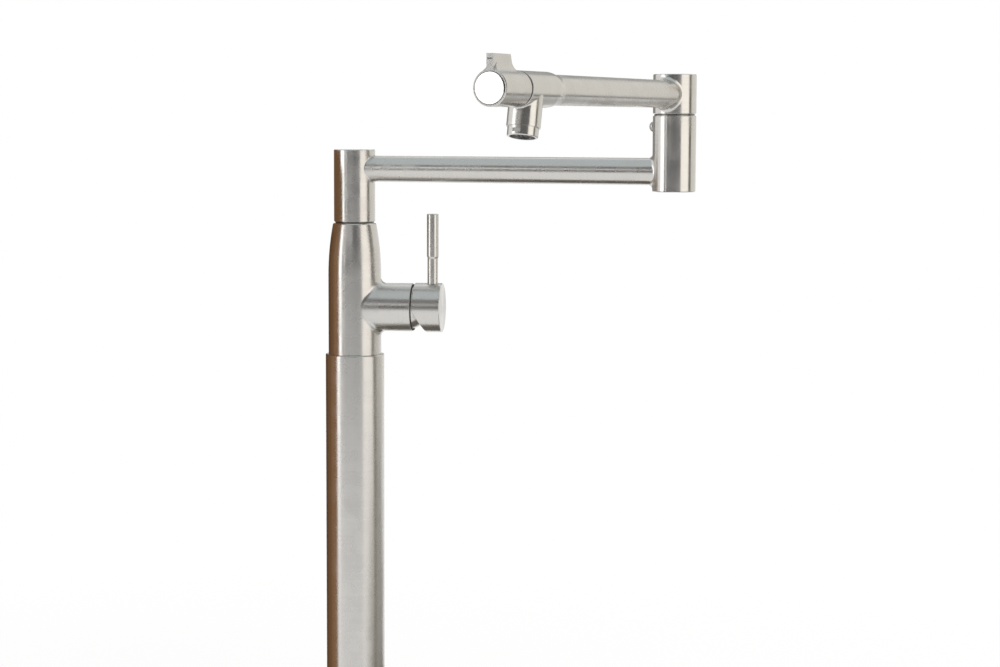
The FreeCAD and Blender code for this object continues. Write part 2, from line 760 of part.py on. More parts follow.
moving_disc = new_body("moving_disc", VALVE)
turn(moving_disc, rectangle("slide_foot", "carrier_foot", "0", "moving_disc_od / 2"), "H_Axis")
drill(moving_disc, "YZ_Plane", "0", "0", "moving_disc_od / 2", "disc_height / 2", back=True,
      offset="placement(vector(0; 0; slide_foot); rotation(vector(0; 0; 1); 0))")

BALL_REACH = "(pivot_reach - ball_drop)"
carrier = new_body("disc_carrier", VALVE)
turn(carrier, [
    ("carrier_foot", "0"),
    ("carrier_foot", "moving_disc_od / 2"),
    ("carrier_top", "moving_disc_od / 2"),
    ("carrier_top", "carrier_collar_od / 2"),
    (BALL_REACH + " + 2.5", "carrier_collar_od / 2"),
    (BALL_REACH + " + 2.5", "ball_od / 2 + 0.4"),
    (BALL_REACH + " - ball_od / 2 - 0.4", "ball_od / 2 + 0.4"),
    (BALL_REACH + " - ball_od / 2 - 0.4", "0"),
], "H_Axis")

driver = new_body("mixer_driver", VALVE)
turn(driver, [
    ("carrier_top + 0.6", "0"),
    ("carrier_top + 0.6", "(" + HOUSING_BORE + ") / 2 - running_clearance"),
    ("housing_top - 0.4", "(" + HOUSING_BORE + ") / 2 - running_clearance"),
    ("housing_top - 0.4", "driver_od / 2"),
    ("pivot_reach + 5", "driver_od / 2"),
    ("pivot_reach + 5", "0"),
], "H_Axis")
fork = new_sketch(driver, "XY_Plane")
draw_outline(fork, rectangle("carrier_foot", BALL_REACH + " + 3.5", "-carrier_collar_od / 2 - 0.4",
                             "carrier_collar_od / 2 + 0.4"))
pocket(driver, fork, "cartridge_bore", both=True)
slot = new_sketch(driver, "YZ_Plane",
                  "placement(vector(0; 0; pivot_reach + 6); rotation(vector(0; 0; 1); 0))")
draw_outline(slot, rectangle("-stem_width / 2 - slip_clearance", "stem_width / 2 + slip_clearance",
                             "-stem_depth / 2 - 3", "stem_depth / 2 + 3"))
pocket(driver, slot, "ball_drop + 6")
drill(driver, "XZ_Plane", "pivot_reach", "0", "pin_od", "cartridge_bore", both=True)

pin = new_body("pivot_pin", VALVE)
pin_sketch = new_sketch(pin, "XZ_Plane")
draw_circle(pin_sketch, "pivot_reach", "0", "pin_od - 2 * fit_clearance")
pad(pin, pin_sketch, "driver_od - 2", both=True)

tube("cartridge_nut", VALVE, "nut_ring_bore / 2", "cartridge_bore / 2 - fit_clearance", "housing_top",
     "nut_ring_top", axis="H_Axis")

dome = new_body("cartridge_dome", VALVE)
turn(dome, [
    ("nut_ring_top", "dome_bore / 2"),
    ("nut_ring_top", "cartridge_bore / 2 - fit_clearance"),
    ("branch_reach", "cartridge_bore / 2 - fit_clearance"),
    ("branch_reach", "dome_foot_radius", "dome_radius", -1),
    ("dome_reach", "sqrt(dome_radius ^ 2 - (dome_reach - pivot_reach) ^ 2)"),
    ("dome_reach", "dome_bore / 2"),
], "H_Axis")
tube("dome_seal", VALVE, "dome_foot_radius + slip_clearance", "branch_od / 2 - dome_seal_inset",
     "branch_reach", "branch_reach + dome_seal_height", axis="H_Axis")

# Lever
stem = new_body("control_stem", VALVE)
turn(stem, [
    (BALL_REACH + " - ball_od * 0.45", "0"),
    (BALL_REACH + " - ball_od * 0.45", "ball_od * sqrt(0.25 - 0.45 ^ 2)", "ball_od / 2", -1),
    (BALL_REACH + " + sqrt(ball_od ^ 2 / 4 - 6.25)", "2.5"),
    ("pivot_reach - 4", "2.5"),
    ("pivot_reach - 4", "0"),
], "H_Axis")
bar_sketch = new_sketch(stem, "YZ_Plane",
                        "placement(vector(0; 0; pivot_reach - 5); rotation(vector(0; 0; 1); 0))")
draw_outline(bar_sketch, rectangle("-stem_width / 2", "stem_width / 2", "-stem_depth / 2", "stem_depth / 2"))
pad(stem, bar_sketch, "hub_reach + 12 - pivot_reach + 5")
drill(stem, "XZ_Plane", "pivot_reach", "0", "pin_od + 2 * running_clearance", "cartridge_bore", both=True)

cap = new_body("lever_cap", VALVE)
turn(cap, [
    ("cap_start", "sqrt(cavity_radius ^ 2 - (cap_start - pivot_reach) ^ 2)"),
    ("cap_start", "cap_od / 2 - edge_break"),
    ("cap_start + edge_break", "cap_od / 2"),
    ("cap_reach - edge_break", "cap_od / 2"),
    ("cap_reach", "cap_od / 2 - edge_break"),
    ("cap_reach", "0"),
    ("hub_reach", "0"),
    ("hub_reach", "hub_od / 2"),
    ("pivot_reach + sqrt(cavity_radius ^ 2 - hub_od ^ 2 / 4)", "hub_od / 2", "cavity_radius", 1),
], "H_Axis")
relief = new_sketch(cap, "XZ_Plane")
draw_outline(relief, [
    ("cap_start", "-relief_drop"),
    ("pivot_reach", "-relief_drop"),
    ("pivot_reach", "-relief_drop - cap_od"),
    ("cap_start + cap_od * tan(relief_angle * 1 deg)", "-relief_drop - cap_od"),
])
pocket(cap, relief, "2 * cap_od", both=True)
socket = new_sketch(cap, "YZ_Plane",
                    "placement(vector(0; 0; hub_reach); rotation(vector(0; 0; 1); 0))")
draw_outline(socket, rectangle("-stem_width / 2 - fit_clearance", "stem_width / 2 + fit_clearance",
                               "-stem_depth / 2 - fit_clearance", "stem_depth / 2 + fit_clearance"))
pocket(cap, socket, "12.4", back=True)
drill(cap, "XY_Plane", "lever_reach", "0", "lever_neck_od + 2 * fit_clearance", "cap_od",
      offset="placement(vector(0; 0; lever_seat + cap_od); rotation(vector(0; 0; 1); 0))")
drill(cap, "XY_Plane", "lever_reach", "0", "stud_od + 2 * fit_clearance", "stud_length + 0.5",
      offset="placement(vector(0; 0; lever_seat); rotation(vector(0; 0; 1); 0))")
drill(cap, "XY_Plane", "lever_reach", "0", "stop_screw_od + 2 * fit_clearance", "cap_od")

LEVER = "placement(vector(lever_reach; 0; valve_height); rotation(vector(0; 0; 1); 0))"
rod = new_body("lever_rod", LEVER)
turn(rod, [
    ("0", "lever_seat - stud_length"),
    ("stud_od / 2", "lever_seat - stud_length"),
    ("stud_od / 2", "lever_seat"),
    ("lever_neck_od / 2", "lever_seat"),
    ("lever_neck_od / 2", "lever_neck_top - lever_taper / 2"),
    ("lever_od / 2", "lever_neck_top + lever_taper / 2"),
    ("lever_od / 2", "lever_top - end_chamfer"),
    ("lever_od / 2 - end_chamfer", "lever_top"),
    ("0", "lever_top"),
], "V_Axis")
grub_screw("cap_grub_screw",
           "placement(vector(lever_reach; 0; valve_height - stem_depth / 2 - fit_clearance); "
           "rotation(vector(0; 1; 0); 90))", "cap_screw_length")

# Lower arm
KNUCKLE_RADIUS = number("knuckle_od / 2")
ARM_RADIUS = number("arm_od / 2")


def stub_seam(point):
    """True for a point where an arm stub meets the round of its knuckle."""
    return (abs(off_axis(point.x, point.y) - KNUCKLE_RADIUS) < 0.02
            and abs(off_axis(point.y, point.z) - ARM_RADIUS) < 0.02)


def knuckle(label, frame, low, high, low_edge, high_edge, back, fillet):
    """A swivel barrel with a welded stub for its arm."""
    barrel = new_body(label, frame)
    turn(barrel, [
        ("0", low),
        ("knuckle_od / 2 - " + low_edge, low),
        ("knuckle_od / 2", low + " + " + low_edge),
        ("knuckle_od / 2", high + " - " + high_edge),
        ("knuckle_od / 2 - " + high_edge, high),
        ("0", high),
    ], "V_Axis")
    stub_sketch = new_sketch(barrel, "YZ_Plane")
    draw_circle(stub_sketch, "0", "0", "arm_od")
    stub = pad(barrel, stub_sketch, "stub_reach", back=back)
    round_edges(barrel, stub, stub_seam, fillet)
    return barrel


SCREW_RISE = "(head_foot - bearing_height + stop_groove_drop)"
STOP_TIP = "(spigot_od / 2 - stop_groove_depth + screw_tip_play)"

head = knuckle("swivel_head", HEAD, "head_foot", "arm_inset", "seam_chamfer", "end_chamfer", False,
               "head_fillet")
drill(head, "XY_Plane", "0", "0", "swivel_bore", "knuckle_height - end_wall", back=True,
      offset="placement(vector(0; 0; head_foot); rotation(vector(0; 0; 1); 0))")
drill(head, "YZ_Plane", "0", "0", "arm_bore", "stub_reach", back=True)
drill(head, "YZ_Plane", "0", SCREW_RISE, "stop_screw_od + 2 * fit_clearance", "knuckle_od")
grub_screw("head_grub_screw", HEAD + " * placement(vector(-" + STOP_TIP + "; 0; " + SCREW_RISE + "); "
           "rotation(vector(0; 0; 1); 180))", "(knuckle_od / 2 - screw_sink - " + STOP_TIP + ")")

tube("lower_arm_tube", HEAD, "arm_bore / 2", "arm_od / 2", "stub_reach", "arm_length - stub_reach",
     axis="H_Axis")

elbow = knuckle("outer_knuckle", KNUCKLE, "-arm_inset", "-head_foot", "end_chamfer", "seam_chamfer", True,
                "weld_fillet")
drill(elbow, "XY_Plane", "0", "0", "swivel_bore", "knuckle_height - end_wall",
      offset="placement(vector(0; 0; -head_foot); rotation(vector(0; 0; 1); 0))")
drill(elbow, "YZ_Plane", "0", "0", "arm_bore", "stub_reach")
drill(elbow, "YZ_Plane", "0", "-" + SCREW_RISE, "stop_screw_od + 2 * fit_clearance", "knuckle_od")
drill(elbow, "YZ_Plane", "0", "-" + SCREW_RISE, "button_od + 2 * slip_clearance", "knuckle_od",
      offset="placement(vector(0; 0; button_seat - knuckle_od / 2); rotation(vector(0; 0; 1); 0))")

button = new_body("knuckle_screw", KNUCKLE + " * placement(vector(-" + STOP_TIP + "; 0; -" + SCREW_RISE
                  + "); rotation(vector(0; 0; 1); 180))")
BUTTON_SEAT = "(knuckle_od / 2 - button_seat - " + STOP_TIP + ")"
turn(button, [
    ("0", "0"),
    ("0", "stop_screw_od / 2 - screw_point"),
    ("screw_point", "stop_screw_od / 2"),
    (BUTTON_SEAT, "stop_screw_od / 2"),
    (BUTTON_SEAT, "button_od / 2"),
    (BUTTON_SEAT + " + button_edge", "button_od / 2", "button_height", -1),
    (BUTTON_SEAT + " + button_height", "button_od / 4"),
    (BUTTON_SEAT + " + button_height", "0"),
], "H_Axis")
button_socket = new_sketch(button, "YZ_Plane", "placement(vector(0; 0; " + BUTTON_SEAT
                           + " + button_height); rotation(vector(0; 0; 1); 0))")
draw_outline(button_socket, hexagon("(stop_screw_od / 2)"))
pocket(button, button_socket, "socket_depth")

# Upper arm
upper = knuckle("upper_knuckle", UPPER, "-arm_inset", "arm_inset", "seam_chamfer", "end_chamfer", False,
                "weld_fillet")
drill(upper, "XY_Plane", "0", "0", "spigot_thread_od + 2 * fit_clearance", "spigot_thread_length", back=True,
      offset="placement(vector(0; 0; -arm_inset); rotation(vector(0; 0; 1); 0))")
drill(upper, "XY_Plane", "0", "0", "arm_bore", "2 * arm_inset - end_wall", back=True,
      offset="placement(vector(0; 0; -arm_inset); rotation(vector(0; 0; 1); 0))")
drill(upper, "YZ_Plane", "0", "0", "arm_bore", "stub_reach", back=True)

ELBOW_SEAM = UPPER + " * placement(vector(0; 0; -arm_inset); rotation(vector(0; 0; 1); 0))"
spigot("elbow_spigot", ELBOW_SEAM, "-1")
seal_ring("elbow_oring_near", ELBOW_SEAM, "-near_ring_drop", "spigot_od / 2 + running_clearance / 3")
seal_ring("elbow_oring_far", ELBOW_SEAM, "-far_ring_drop", "spigot_od / 2 + running_clearance / 3")
tube("elbow_bearing", ELBOW_SEAM, "spigot_od / 2 + running_clearance", "knuckle_od / 2 - seam_chamfer - 0.3",
     "-bearing_height", "0")
tube("upper_arm_tube", UPPER, "arm_bore / 2", "arm_od / 2", "stub_reach", "valve_start", axis="H_Axis")

# Outlet valve
SHOULDER_STEP = "((valve_od - arm_od) / 4)"
SHOULDER_RADIUS = ("((shoulder_length ^ 2 / 4 + " + SHOULDER_STEP + " ^ 2) / (2 * " + SHOULDER_STEP + "))")
tee = new_body("outlet_valve_body", UPPER)
turn(tee, [
    ("valve_start", "0"),
    ("valve_start", "arm_od / 2", SHOULDER_RADIUS, 1),
    ("valve_start + shoulder_length / 2", "arm_od / 2 + " + SHOULDER_STEP, SHOULDER_RADIUS, -1),
    ("valve_start + shoulder_length", "valve_od / 2"),
    ("valve_end - edge_break", "valve_od / 2"),
    ("valve_end", "valve_od / 2 - edge_break"),
    ("valve_end", "0"),
], "H_Axis")
TILTED = "placement(vector(outlet_reach; 0; 0); rotation(vector(0; 1; 0); -outlet_tilt))"
TILTED_FOOT = TILTED + " * placement(vector(0; 0; -outlet_drop); rotation(vector(0; 0; 1); 0))"
nozzle_sketch = new_sketch(tee, "XY_Plane", TILTED)
draw_circle(nozzle_sketch, "0", "0", "outlet_od")
nozzle = pad(tee, nozzle_sketch, "outlet_drop", back=True)
VALVE_RADIUS = number("valve_od / 2")
OUTLET_RADIUS = number("outlet_od / 2")
OUTLET_X = number("outlet_reach")
TILT = math.radians(number("outlet_tilt"))


def nozzle_seam(point):
    """True for a point where the outlet meets the valve body."""
    along = (point.x - OUTLET_X) * math.cos(TILT) + point.z * math.sin(TILT)
    return (abs(off_axis(point.y, point.z) - VALVE_RADIUS) < 0.02
            and abs(off_axis(along, point.y) - OUTLET_RADIUS) < 0.02)


round_edges(tee, nozzle, nozzle_seam, "outlet_fillet")
drill(tee, "YZ_Plane", "0", "0", "arm_bore", "valve_end - valve_start", back=True,
      offset="placement(vector(0; 0; valve_start); rotation(vector(0; 0; 1); 0))")
drill(tee, "YZ_Plane", "0", "0", "headwork_bore", "valve_end - headwork_start",
      offset="placement(vector(0; 0; valve_end); rotation(vector(0; 0; 1); 0))")
drill(tee, "XY_Plane", "0", "0", "outlet_bore", "outlet_drop", offset=TILTED)
drill(tee, "XY_Plane", "0", "0", "aerator_thread_od + 2 * fit_clearance",
      "aerator_thread_length + aerator_washer + slip_clearance", back=True, offset=TILTED_FOOT)

headwork = new_body("valve_headwork", UPPER)
turn(headwork, [
    ("headwork_start", "headwork_bore / 2 - headwork_wall"),
    ("headwork_start", "headwork_bore / 2 - fit_clearance"),
    ("valve_end", "headwork_bore / 2 - fit_clearance"),
    ("valve_end", "handle_bore / 2 - 2 * running_clearance"),
    ("handle_web_start - headwork_nose", "handle_bore / 2 - 2 * running_clearance"),
    ("handle_web_start - headwork_nose", "spindle_od / 2 + running_clearance"),
    ("valve_end - headwork_neck", "spindle_od / 2 + running_clearance"),
    ("valve_end - headwork_neck", "headwork_bore / 2 - headwork_wall"),
], "H_Axis")
turn_away(headwork, rectangle("valve_end - head_ring_back - 0.65 * head_ring_section",
                              "valve_end - head_ring_back + 0.65 * head_ring_section",
                              "headwork_bore / 2 - head_ring_section - fit_clearance - slip_clearance / 4",
                              "headwork_bore / 2 + 1"), "H_Axis")
drill(headwork, "XY_Plane", "outlet_reach - headwork_port_back", "0", "headwork_port", "headwork_bore")

head_ring = new_body("headwork_oring", UPPER)
ring_sketch = new_sketch(head_ring, "XZ_Plane")
draw_circle(ring_sketch, "valve_end - head_ring_back",
            "headwork_bore / 2 - fit_clearance - head_ring_section / 2", "head_ring_section")
ring_feature = head_ring.newObject("PartDesign::Revolution", "headwork_oring_turned")
ring_feature.Profile = ring_sketch
ring_feature.ReferenceAxis = (ring_sketch, ["H_Axis"])
ring_feature.Angle = 360
doc.recompute()


def ceramic(label, start, stop, radius):
    """A small ceramic disc of the outlet valve with two water ways."""
    disc = new_body(label, UPPER)
    turn(disc, rectangle(start, stop, "0", radius), "H_Axis")
    for side in ("1", "-1"):
        drill(disc, "YZ_Plane", "0", side + " * water_way_offset", "water_way_bore", "headwork_bore",
              offset="placement(vector(0; 0; " + stop + "); rotation(vector(0; 0; 1); 0))")
    return disc


ceramic("outlet_fixed_disc", "headwork_start", "turning_foot",
        "headwork_bore / 2 - headwork_wall - fit_clearance")
ceramic("outlet_turning_disc", "turning_foot", "spindle_foot",
        "headwork_bore / 2 - headwork_wall - running_clearance")

spindle = new_body("valve_spindle", UPPER)
turn(spindle, [
    ("spindle_foot", "0"),
    ("spindle_foot", "headwork_bore / 2 - headwork_wall - spindle_lip"),
    ("spindle_foot + spindle_lip_height", "headwork_bore / 2 - headwork_wall - spindle_lip"),
    ("spindle_foot + spindle_lip_height", "spindle_od / 2"),
    ("handle_web_start", "spindle_od / 2"),
    ("handle_web_start", "0"),
], "H_Axis")
square_sketch = new_sketch(spindle, "YZ_Plane",
                           "placement(vector(0; 0; handle_web_start); rotation(vector(0; 0; 1); 0))")
draw_outline(square_sketch, rectangle("-spindle_square / 2", "spindle_square / 2", "-spindle_square / 2",
                                      "spindle_square / 2"))
pad(spindle, square_sketch, "handle_web - end_chamfer")
drill(spindle, "YZ_Plane", "0", "0", "handle_screw_od + 2 * fit_clearance", "handle_screw_length + 2",
      offset="placement(vector(0; 0; handle_web_end); rotation(vector(0; 0; 1); 0))")

# Outlet handle
ring = new_body("handle_ring", UPPER)
turn(ring, [
    ("handle_start", "handle_bore / 2"),
    ("handle_start", "valve_od / 2 - edge_break"),
    ("handle_start + edge_break", "valve_od / 2"),
    ("handle_end - edge_break", "valve_od / 2"),
    ("handle_end", "valve_od / 2 - edge_break"),
    ("handle_end", "handle_recess_od / 2"),
    ("handle_web_end", "handle_recess_od / 2"),
    ("handle_web_end", "0"),
    ("handle_web_start", "0"),
    ("handle_web_start", "handle_bore / 2"),
], "H_Axis")
tab_sketch = new_sketch(ring, "XZ_Plane")
draw_outline(tab_sketch, [
    ("tab_start", "tab_top"),
    ("tab_start - tab_heel", "valve_od / 2 - 1"),
    ("handle_end", "valve_od / 2 - 1"),
    ("handle_end", "tab_top"),
])
tab = pad(ring, tab_sketch, "tab_thickness", both=True)
HALF_TAB = number("tab_thickness / 2")
FRONT = number("handle_end")
flared = round_edges(ring, tab, lambda p: abs(off_axis(p.y, p.z) - VALVE_RADIUS) < 0.02 and p.z > 0
                     and abs(p.y) < HALF_TAB + 0.02 and p.x < FRONT + 0.01, "tab_flare")
square = new_sketch(ring, "YZ_Plane",
                    "placement(vector(0; 0; handle_web_end); rotation(vector(0; 0; 1); 0))")
draw_outline(square, rectangle("-spindle_square / 2 - fit_clearance", "spindle_square / 2 + fit_clearance",
                               "-spindle_square / 2 - fit_clearance", "spindle_square / 2 + fit_clearance"))
pocket(ring, square, "handle_web")
mark = new_sketch(ring, "YZ_Plane", "placement(vector(0; 0; handle_end); rotation(vector(0; 0; 1); 0))")
draw_outline(mark, rectangle("-tab_thickness * 0.36", "tab_thickness * 0.36",
                             "tab_top - mark_drop - mark_height", "tab_top - mark_drop"))
pocket(ring, mark, "mark_depth")

screw = new_body("handle_screw", UPPER)
turn(screw, [
    ("handle_web_end - handle_screw_length", "0"),
    ("handle_web_end - handle_screw_length", "handle_screw_od / 2"),
    ("handle_web_end", "handle_screw_od / 2"),
    ("handle_web_end", "handle_screw_head_od / 2"),
    ("handle_web_end + handle_screw_head - foot_chamfer", "handle_screw_head_od / 2"),
    ("handle_web_end + handle_screw_head", "handle_screw_head_od / 2 - foot_chamfer"),
    ("handle_web_end + handle_screw_head", "0"),
], "H_Axis")
screw_socket = new_sketch(screw, "YZ_Plane",
                          "placement(vector(0; 0; handle_web_end + handle_screw_head); "
                          "rotation(vector(0; 0; 1); 0))")
draw_outline(screw_socket, hexagon("handle_screw_key"))
pocket(screw, screw_socket, "handle_screw_socket")

front = new_body("handle_cap", UPPER)
turn(front, [
    ("button_top - handle_cap_height", "0"),
    ("button_top - handle_cap_height", "handle_cap_od / 2"),
    ("button_top - edge_break", "handle_cap_od / 2"),
    ("button_top", "handle_cap_od / 2 - edge_break"),
    ("button_top", "0"),
], "H_Axis")

# Aerator
aerator = new_body("aerator_housing", OUTLET)
turn(aerator, [
    ("aerator_bore / 2", "-aerator_bottom"),
    ("aerator_od / 2 - edge_break", "-aerator_bottom"),
    ("aerator_od / 2", "edge_break - aerator_bottom"),
    ("aerator_od / 2", "-outlet_drop"),
    ("aerator_thread_od / 2", "-outlet_drop"),
    ("aerator_thread_od / 2", "aerator_thread_length - outlet_drop"),
    ("aerator_bore / 2", "aerator_thread_length - outlet_drop"),
], "V_Axis")
FLAT_MIDDLE = "(aerator_bottom - aerator_drop / 2)"
for back, reach in ((True, "aerator_od / 2 - key_flat_depth"), (False, "key_flat_depth - aerator_od / 2")):
    flat = new_sketch(aerator, "YZ_Plane",
                      "placement(vector(0; 0; " + reach + "); rotation(vector(0; 0; 1); 0))")
    draw_outline(flat, rectangle("-key_flat_width / 2", "key_flat_width / 2",
                                 "-" + FLAT_MIDDLE + " - key_flat_height / 2",
                                 "-" + FLAT_MIDDLE + " + key_flat_height / 2"))
    pocket(aerator, flat, "aerator_od / 2", back=back)

insert = new_body("aerator_insert", OUTLET)
turn(insert, rectangle("0", "aerator_bore / 2 - fit_clearance", "aerator_floor - aerator_bottom",
                       "aerator_thread_length - outlet_drop - aerator_insert_drop"), "V_Axis")
jets = new_sketch(insert, "XY_Plane",
                  "placement(vector(0; 0; -outlet_drop); rotation(vector(0; 0; 1); 0))")
draw_circle(jets, "0", "0", "jet_bore")
for count, factor in ((6, "0.18"), (12, "0.36")):
    for place in range(count):
        angle = 360.0 / count * place + 15
        draw_circle(jets, "aerator_bore * %s * cos(%.1f deg)" % (factor, angle),
                    "aerator_bore * %s * sin(%.1f deg)" % (factor, angle), "jet_bore")
pocket(insert, jets, "4 * aerator_bottom", both=True)

tube("aerator_washer", OUTLET, "aerator_bore / 2 - aerator_washer", "aerator_thread_od / 2",
     "aerator_thread_length - outlet_drop", "aerator_thread_length - outlet_drop + aerator_washer")

# Check every object and write the pieces
doc.recompute()
for item in doc.Objects:
    if "Invalid" in item.State or "Error" in item.State:
        raise RuntimeError(item.Label + " is " + ", ".join(item.State))
os.makedirs("parts", exist_ok=True)
for piece in pieces:
    if piece.Shape.isNull() or not piece.Shape.isValid():
        raise RuntimeError(piece.Label + " has no sound shape")
    if len(piece.Shape.Solids) != 1:
        raise RuntimeError(piece.Label + " is not one solid")
    piece.Shape.exportStep("parts/" + piece.Label + ".step")
print(len(pieces), "pieces written")
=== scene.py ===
# %% [markdown]
# A tall kitchen tap stands on one steel pillar. A side lever mixes the water, and two arms fold out to carry it to a
# small outlet with a shut-off handle of its own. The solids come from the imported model, each at its own place, so
# this lesson only dresses them: light, camera, finishes, and the fine pieces that turning and drilling leave behind.

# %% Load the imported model
import math

import bpy
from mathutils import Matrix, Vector


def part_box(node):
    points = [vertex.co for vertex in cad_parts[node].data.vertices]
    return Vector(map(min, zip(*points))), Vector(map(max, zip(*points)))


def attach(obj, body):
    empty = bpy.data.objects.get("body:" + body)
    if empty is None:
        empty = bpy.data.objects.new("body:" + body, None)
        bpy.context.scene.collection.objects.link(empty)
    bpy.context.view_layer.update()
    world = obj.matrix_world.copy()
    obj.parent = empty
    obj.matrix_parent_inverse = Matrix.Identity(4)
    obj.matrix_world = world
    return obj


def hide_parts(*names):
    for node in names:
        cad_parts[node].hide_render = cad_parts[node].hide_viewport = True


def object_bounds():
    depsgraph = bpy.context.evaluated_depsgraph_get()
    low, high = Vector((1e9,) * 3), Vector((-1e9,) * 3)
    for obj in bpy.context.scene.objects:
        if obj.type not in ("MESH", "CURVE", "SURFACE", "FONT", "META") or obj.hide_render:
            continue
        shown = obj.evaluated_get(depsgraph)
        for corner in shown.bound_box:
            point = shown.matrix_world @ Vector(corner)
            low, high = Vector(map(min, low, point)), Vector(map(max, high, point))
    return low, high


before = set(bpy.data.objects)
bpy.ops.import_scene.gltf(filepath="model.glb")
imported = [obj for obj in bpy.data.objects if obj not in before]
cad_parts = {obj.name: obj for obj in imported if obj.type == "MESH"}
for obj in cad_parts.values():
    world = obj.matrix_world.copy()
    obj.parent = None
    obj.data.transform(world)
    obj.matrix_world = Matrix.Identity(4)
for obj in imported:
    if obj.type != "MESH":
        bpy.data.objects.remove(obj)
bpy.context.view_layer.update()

# %% [markdown]
# Each turned piece has a line it was spun round on the lathe. The brushing follows that line, so the lines are worked
# out once: the pillar, the mixer's side branch, the lever, both arms, the elbow and the tilted outlet. A line is a
# point and a direction, in metres, in the same frame as the solids.

# %% The lines that the pieces were turned round
MM = 0.001
ARM_HEIGHT = 500 * MM
ARM_RISE = 62.4 * MM
ARM_LENGTH = 280 * MM
VALVE_HEIGHT = 382.2 * MM
LEVER_REACH = 67.4 * MM
OUTLET_TILT = math.radians(12)
LOWER_TURN = math.radians(-12.0)
UPPER_TURN = math.radians(-12.0 - 96.9)

UP = Vector((0, 0, 1))
lower_way = Vector((math.cos(LOWER_TURN), math.sin(LOWER_TURN), 0))
upper_way = Vector((math.cos(UPPER_TURN), math.sin(UPPER_TURN), 0))
elbow = lower_way * ARM_LENGTH + UP * ARM_HEIGHT
upper_start = elbow + UP * ARM_RISE
outlet_point = upper_start + upper_way * ARM_LENGTH

column_line = (Vector((0, 0, 0)), UP)
branch_line = (Vector((0, 0, VALVE_HEIGHT)), Vector((1, 0, 0)))
lever_line = (Vector((LEVER_REACH, 0, VALVE_HEIGHT)), UP)
elbow_line = (elbow, UP)
lower_line = (Vector((0, 0, ARM_HEIGHT)), lower_way)
upper_line = (upper_start, upper_way)
print("elbow at", [round(v, 4) for v in elbow], "outlet at", [round(v, 4) for v in outlet_point])

# %% [markdown]
# Two helpers serve every finish. Colours are written as the hex values a painter would pick, and one function turns
# them into the linear light that the shaders work in. The other adds a node, sets its values and makes its links.

# %% Colour and node helpers


def linear(hex_colour):
    """Turns an sRGB hex colour into linear red, green, blue and alpha."""
    channels = [int(hex_colour[i:i + 2], 16) / 255 for i in (1, 3, 5)]
    return [c / 12.92 if c <= 0.04045 else ((c + 0.055) / 1.055) ** 2.4 for c in channels] + [1.0]


def add_node(tree, kind, values=None, links=None, **settings):
    """Adds a node, sets its attributes and inputs, and links inputs to other nodes' outputs."""
    node = tree.nodes.new(kind)
    for name, value in settings.items():
        setattr(node, name, value)
    for socket, value in (values or {}).items():
        node.inputs[socket].default_value = value
    for socket, output in (links or {}).items():
        tree.links.new(output, node.inputs[socket])
    return node


def new_finish(name):
    """Starts a material with an empty node tree and its output."""
    finish = bpy.data.materials.new(name)
    finish.use_nodes = True
    finish.node_tree.nodes.clear()
    output = finish.node_tree.nodes.new("ShaderNodeOutputMaterial")
    return finish, finish.node_tree, output


print("helpers ready")

# %% [markdown]
# The camera comes first. The photograph was taken a little right of the pillar with a long lens, at the height of the
# arms. A small downward tilt puts the arms in the upper part of the frame, and a roll of a fifth of a degree, as of a
# camera held by hand, stands the pillar upright.

# %% Camera
CAMERA_TURN = 7.008
CAMERA_TILT = 5.358
CAMERA_ROLL = 0.192
camera_data = bpy.data.cameras.new("camera")
camera_data.sensor_width = 36
camera_data.lens = 80.75
camera = bpy.data.objects.new("camera", camera_data)
camera.location = (0.3567, -1.8834, 0.5388)
camera.rotation_euler = (math.radians(90 - CAMERA_TILT), 0, math.radians(CAMERA_TURN))
camera.rotation_euler.rotate_axis("Z", math.radians(CAMERA_ROLL))
bpy.context.collection.objects.link(camera)
bpy.context.scene.camera = camera
bpy.context.scene.view_settings.view_transform = "Standard"
print("camera at", [round(v, 3) for v in camera.location])

# %% [markdown]
# Polished or brushed, steel shows its surroundings more than itself, so the studio is built as a photographer would:
# a pale floor, a white backdrop, soft lamps, and cards that stand out of sight and only show in the metal. The pale
# background counts for what the camera sees and for what the metal mirrors, while the lamps alone make the shadow.

# %% Floor and backdrop
FLOOR_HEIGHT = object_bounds()[0][2]
FLOOR_SIDE = 40
SHADOW_NEAR = 0.35
SHADOW_FAR = 1.1
SHADOW_SHARE = 0.78


def background_share(tree):
    """A factor that is one for what the camera, gloss and glass see, and nought for the light itself."""
    path = add_node(tree, "ShaderNodeLightPath")
    seen = add_node(tree, "ShaderNodeMath", operation="MAXIMUM",
                    links={0: path.outputs["Is Camera Ray"], 1: path.outputs["Is Glossy Ray"]})
    return add_node(tree, "ShaderNodeMath", operation="MAXIMUM",
                    links={0: seen.outputs[0], 1: path.outputs["Is Transmission Ray"]}).outputs[0]


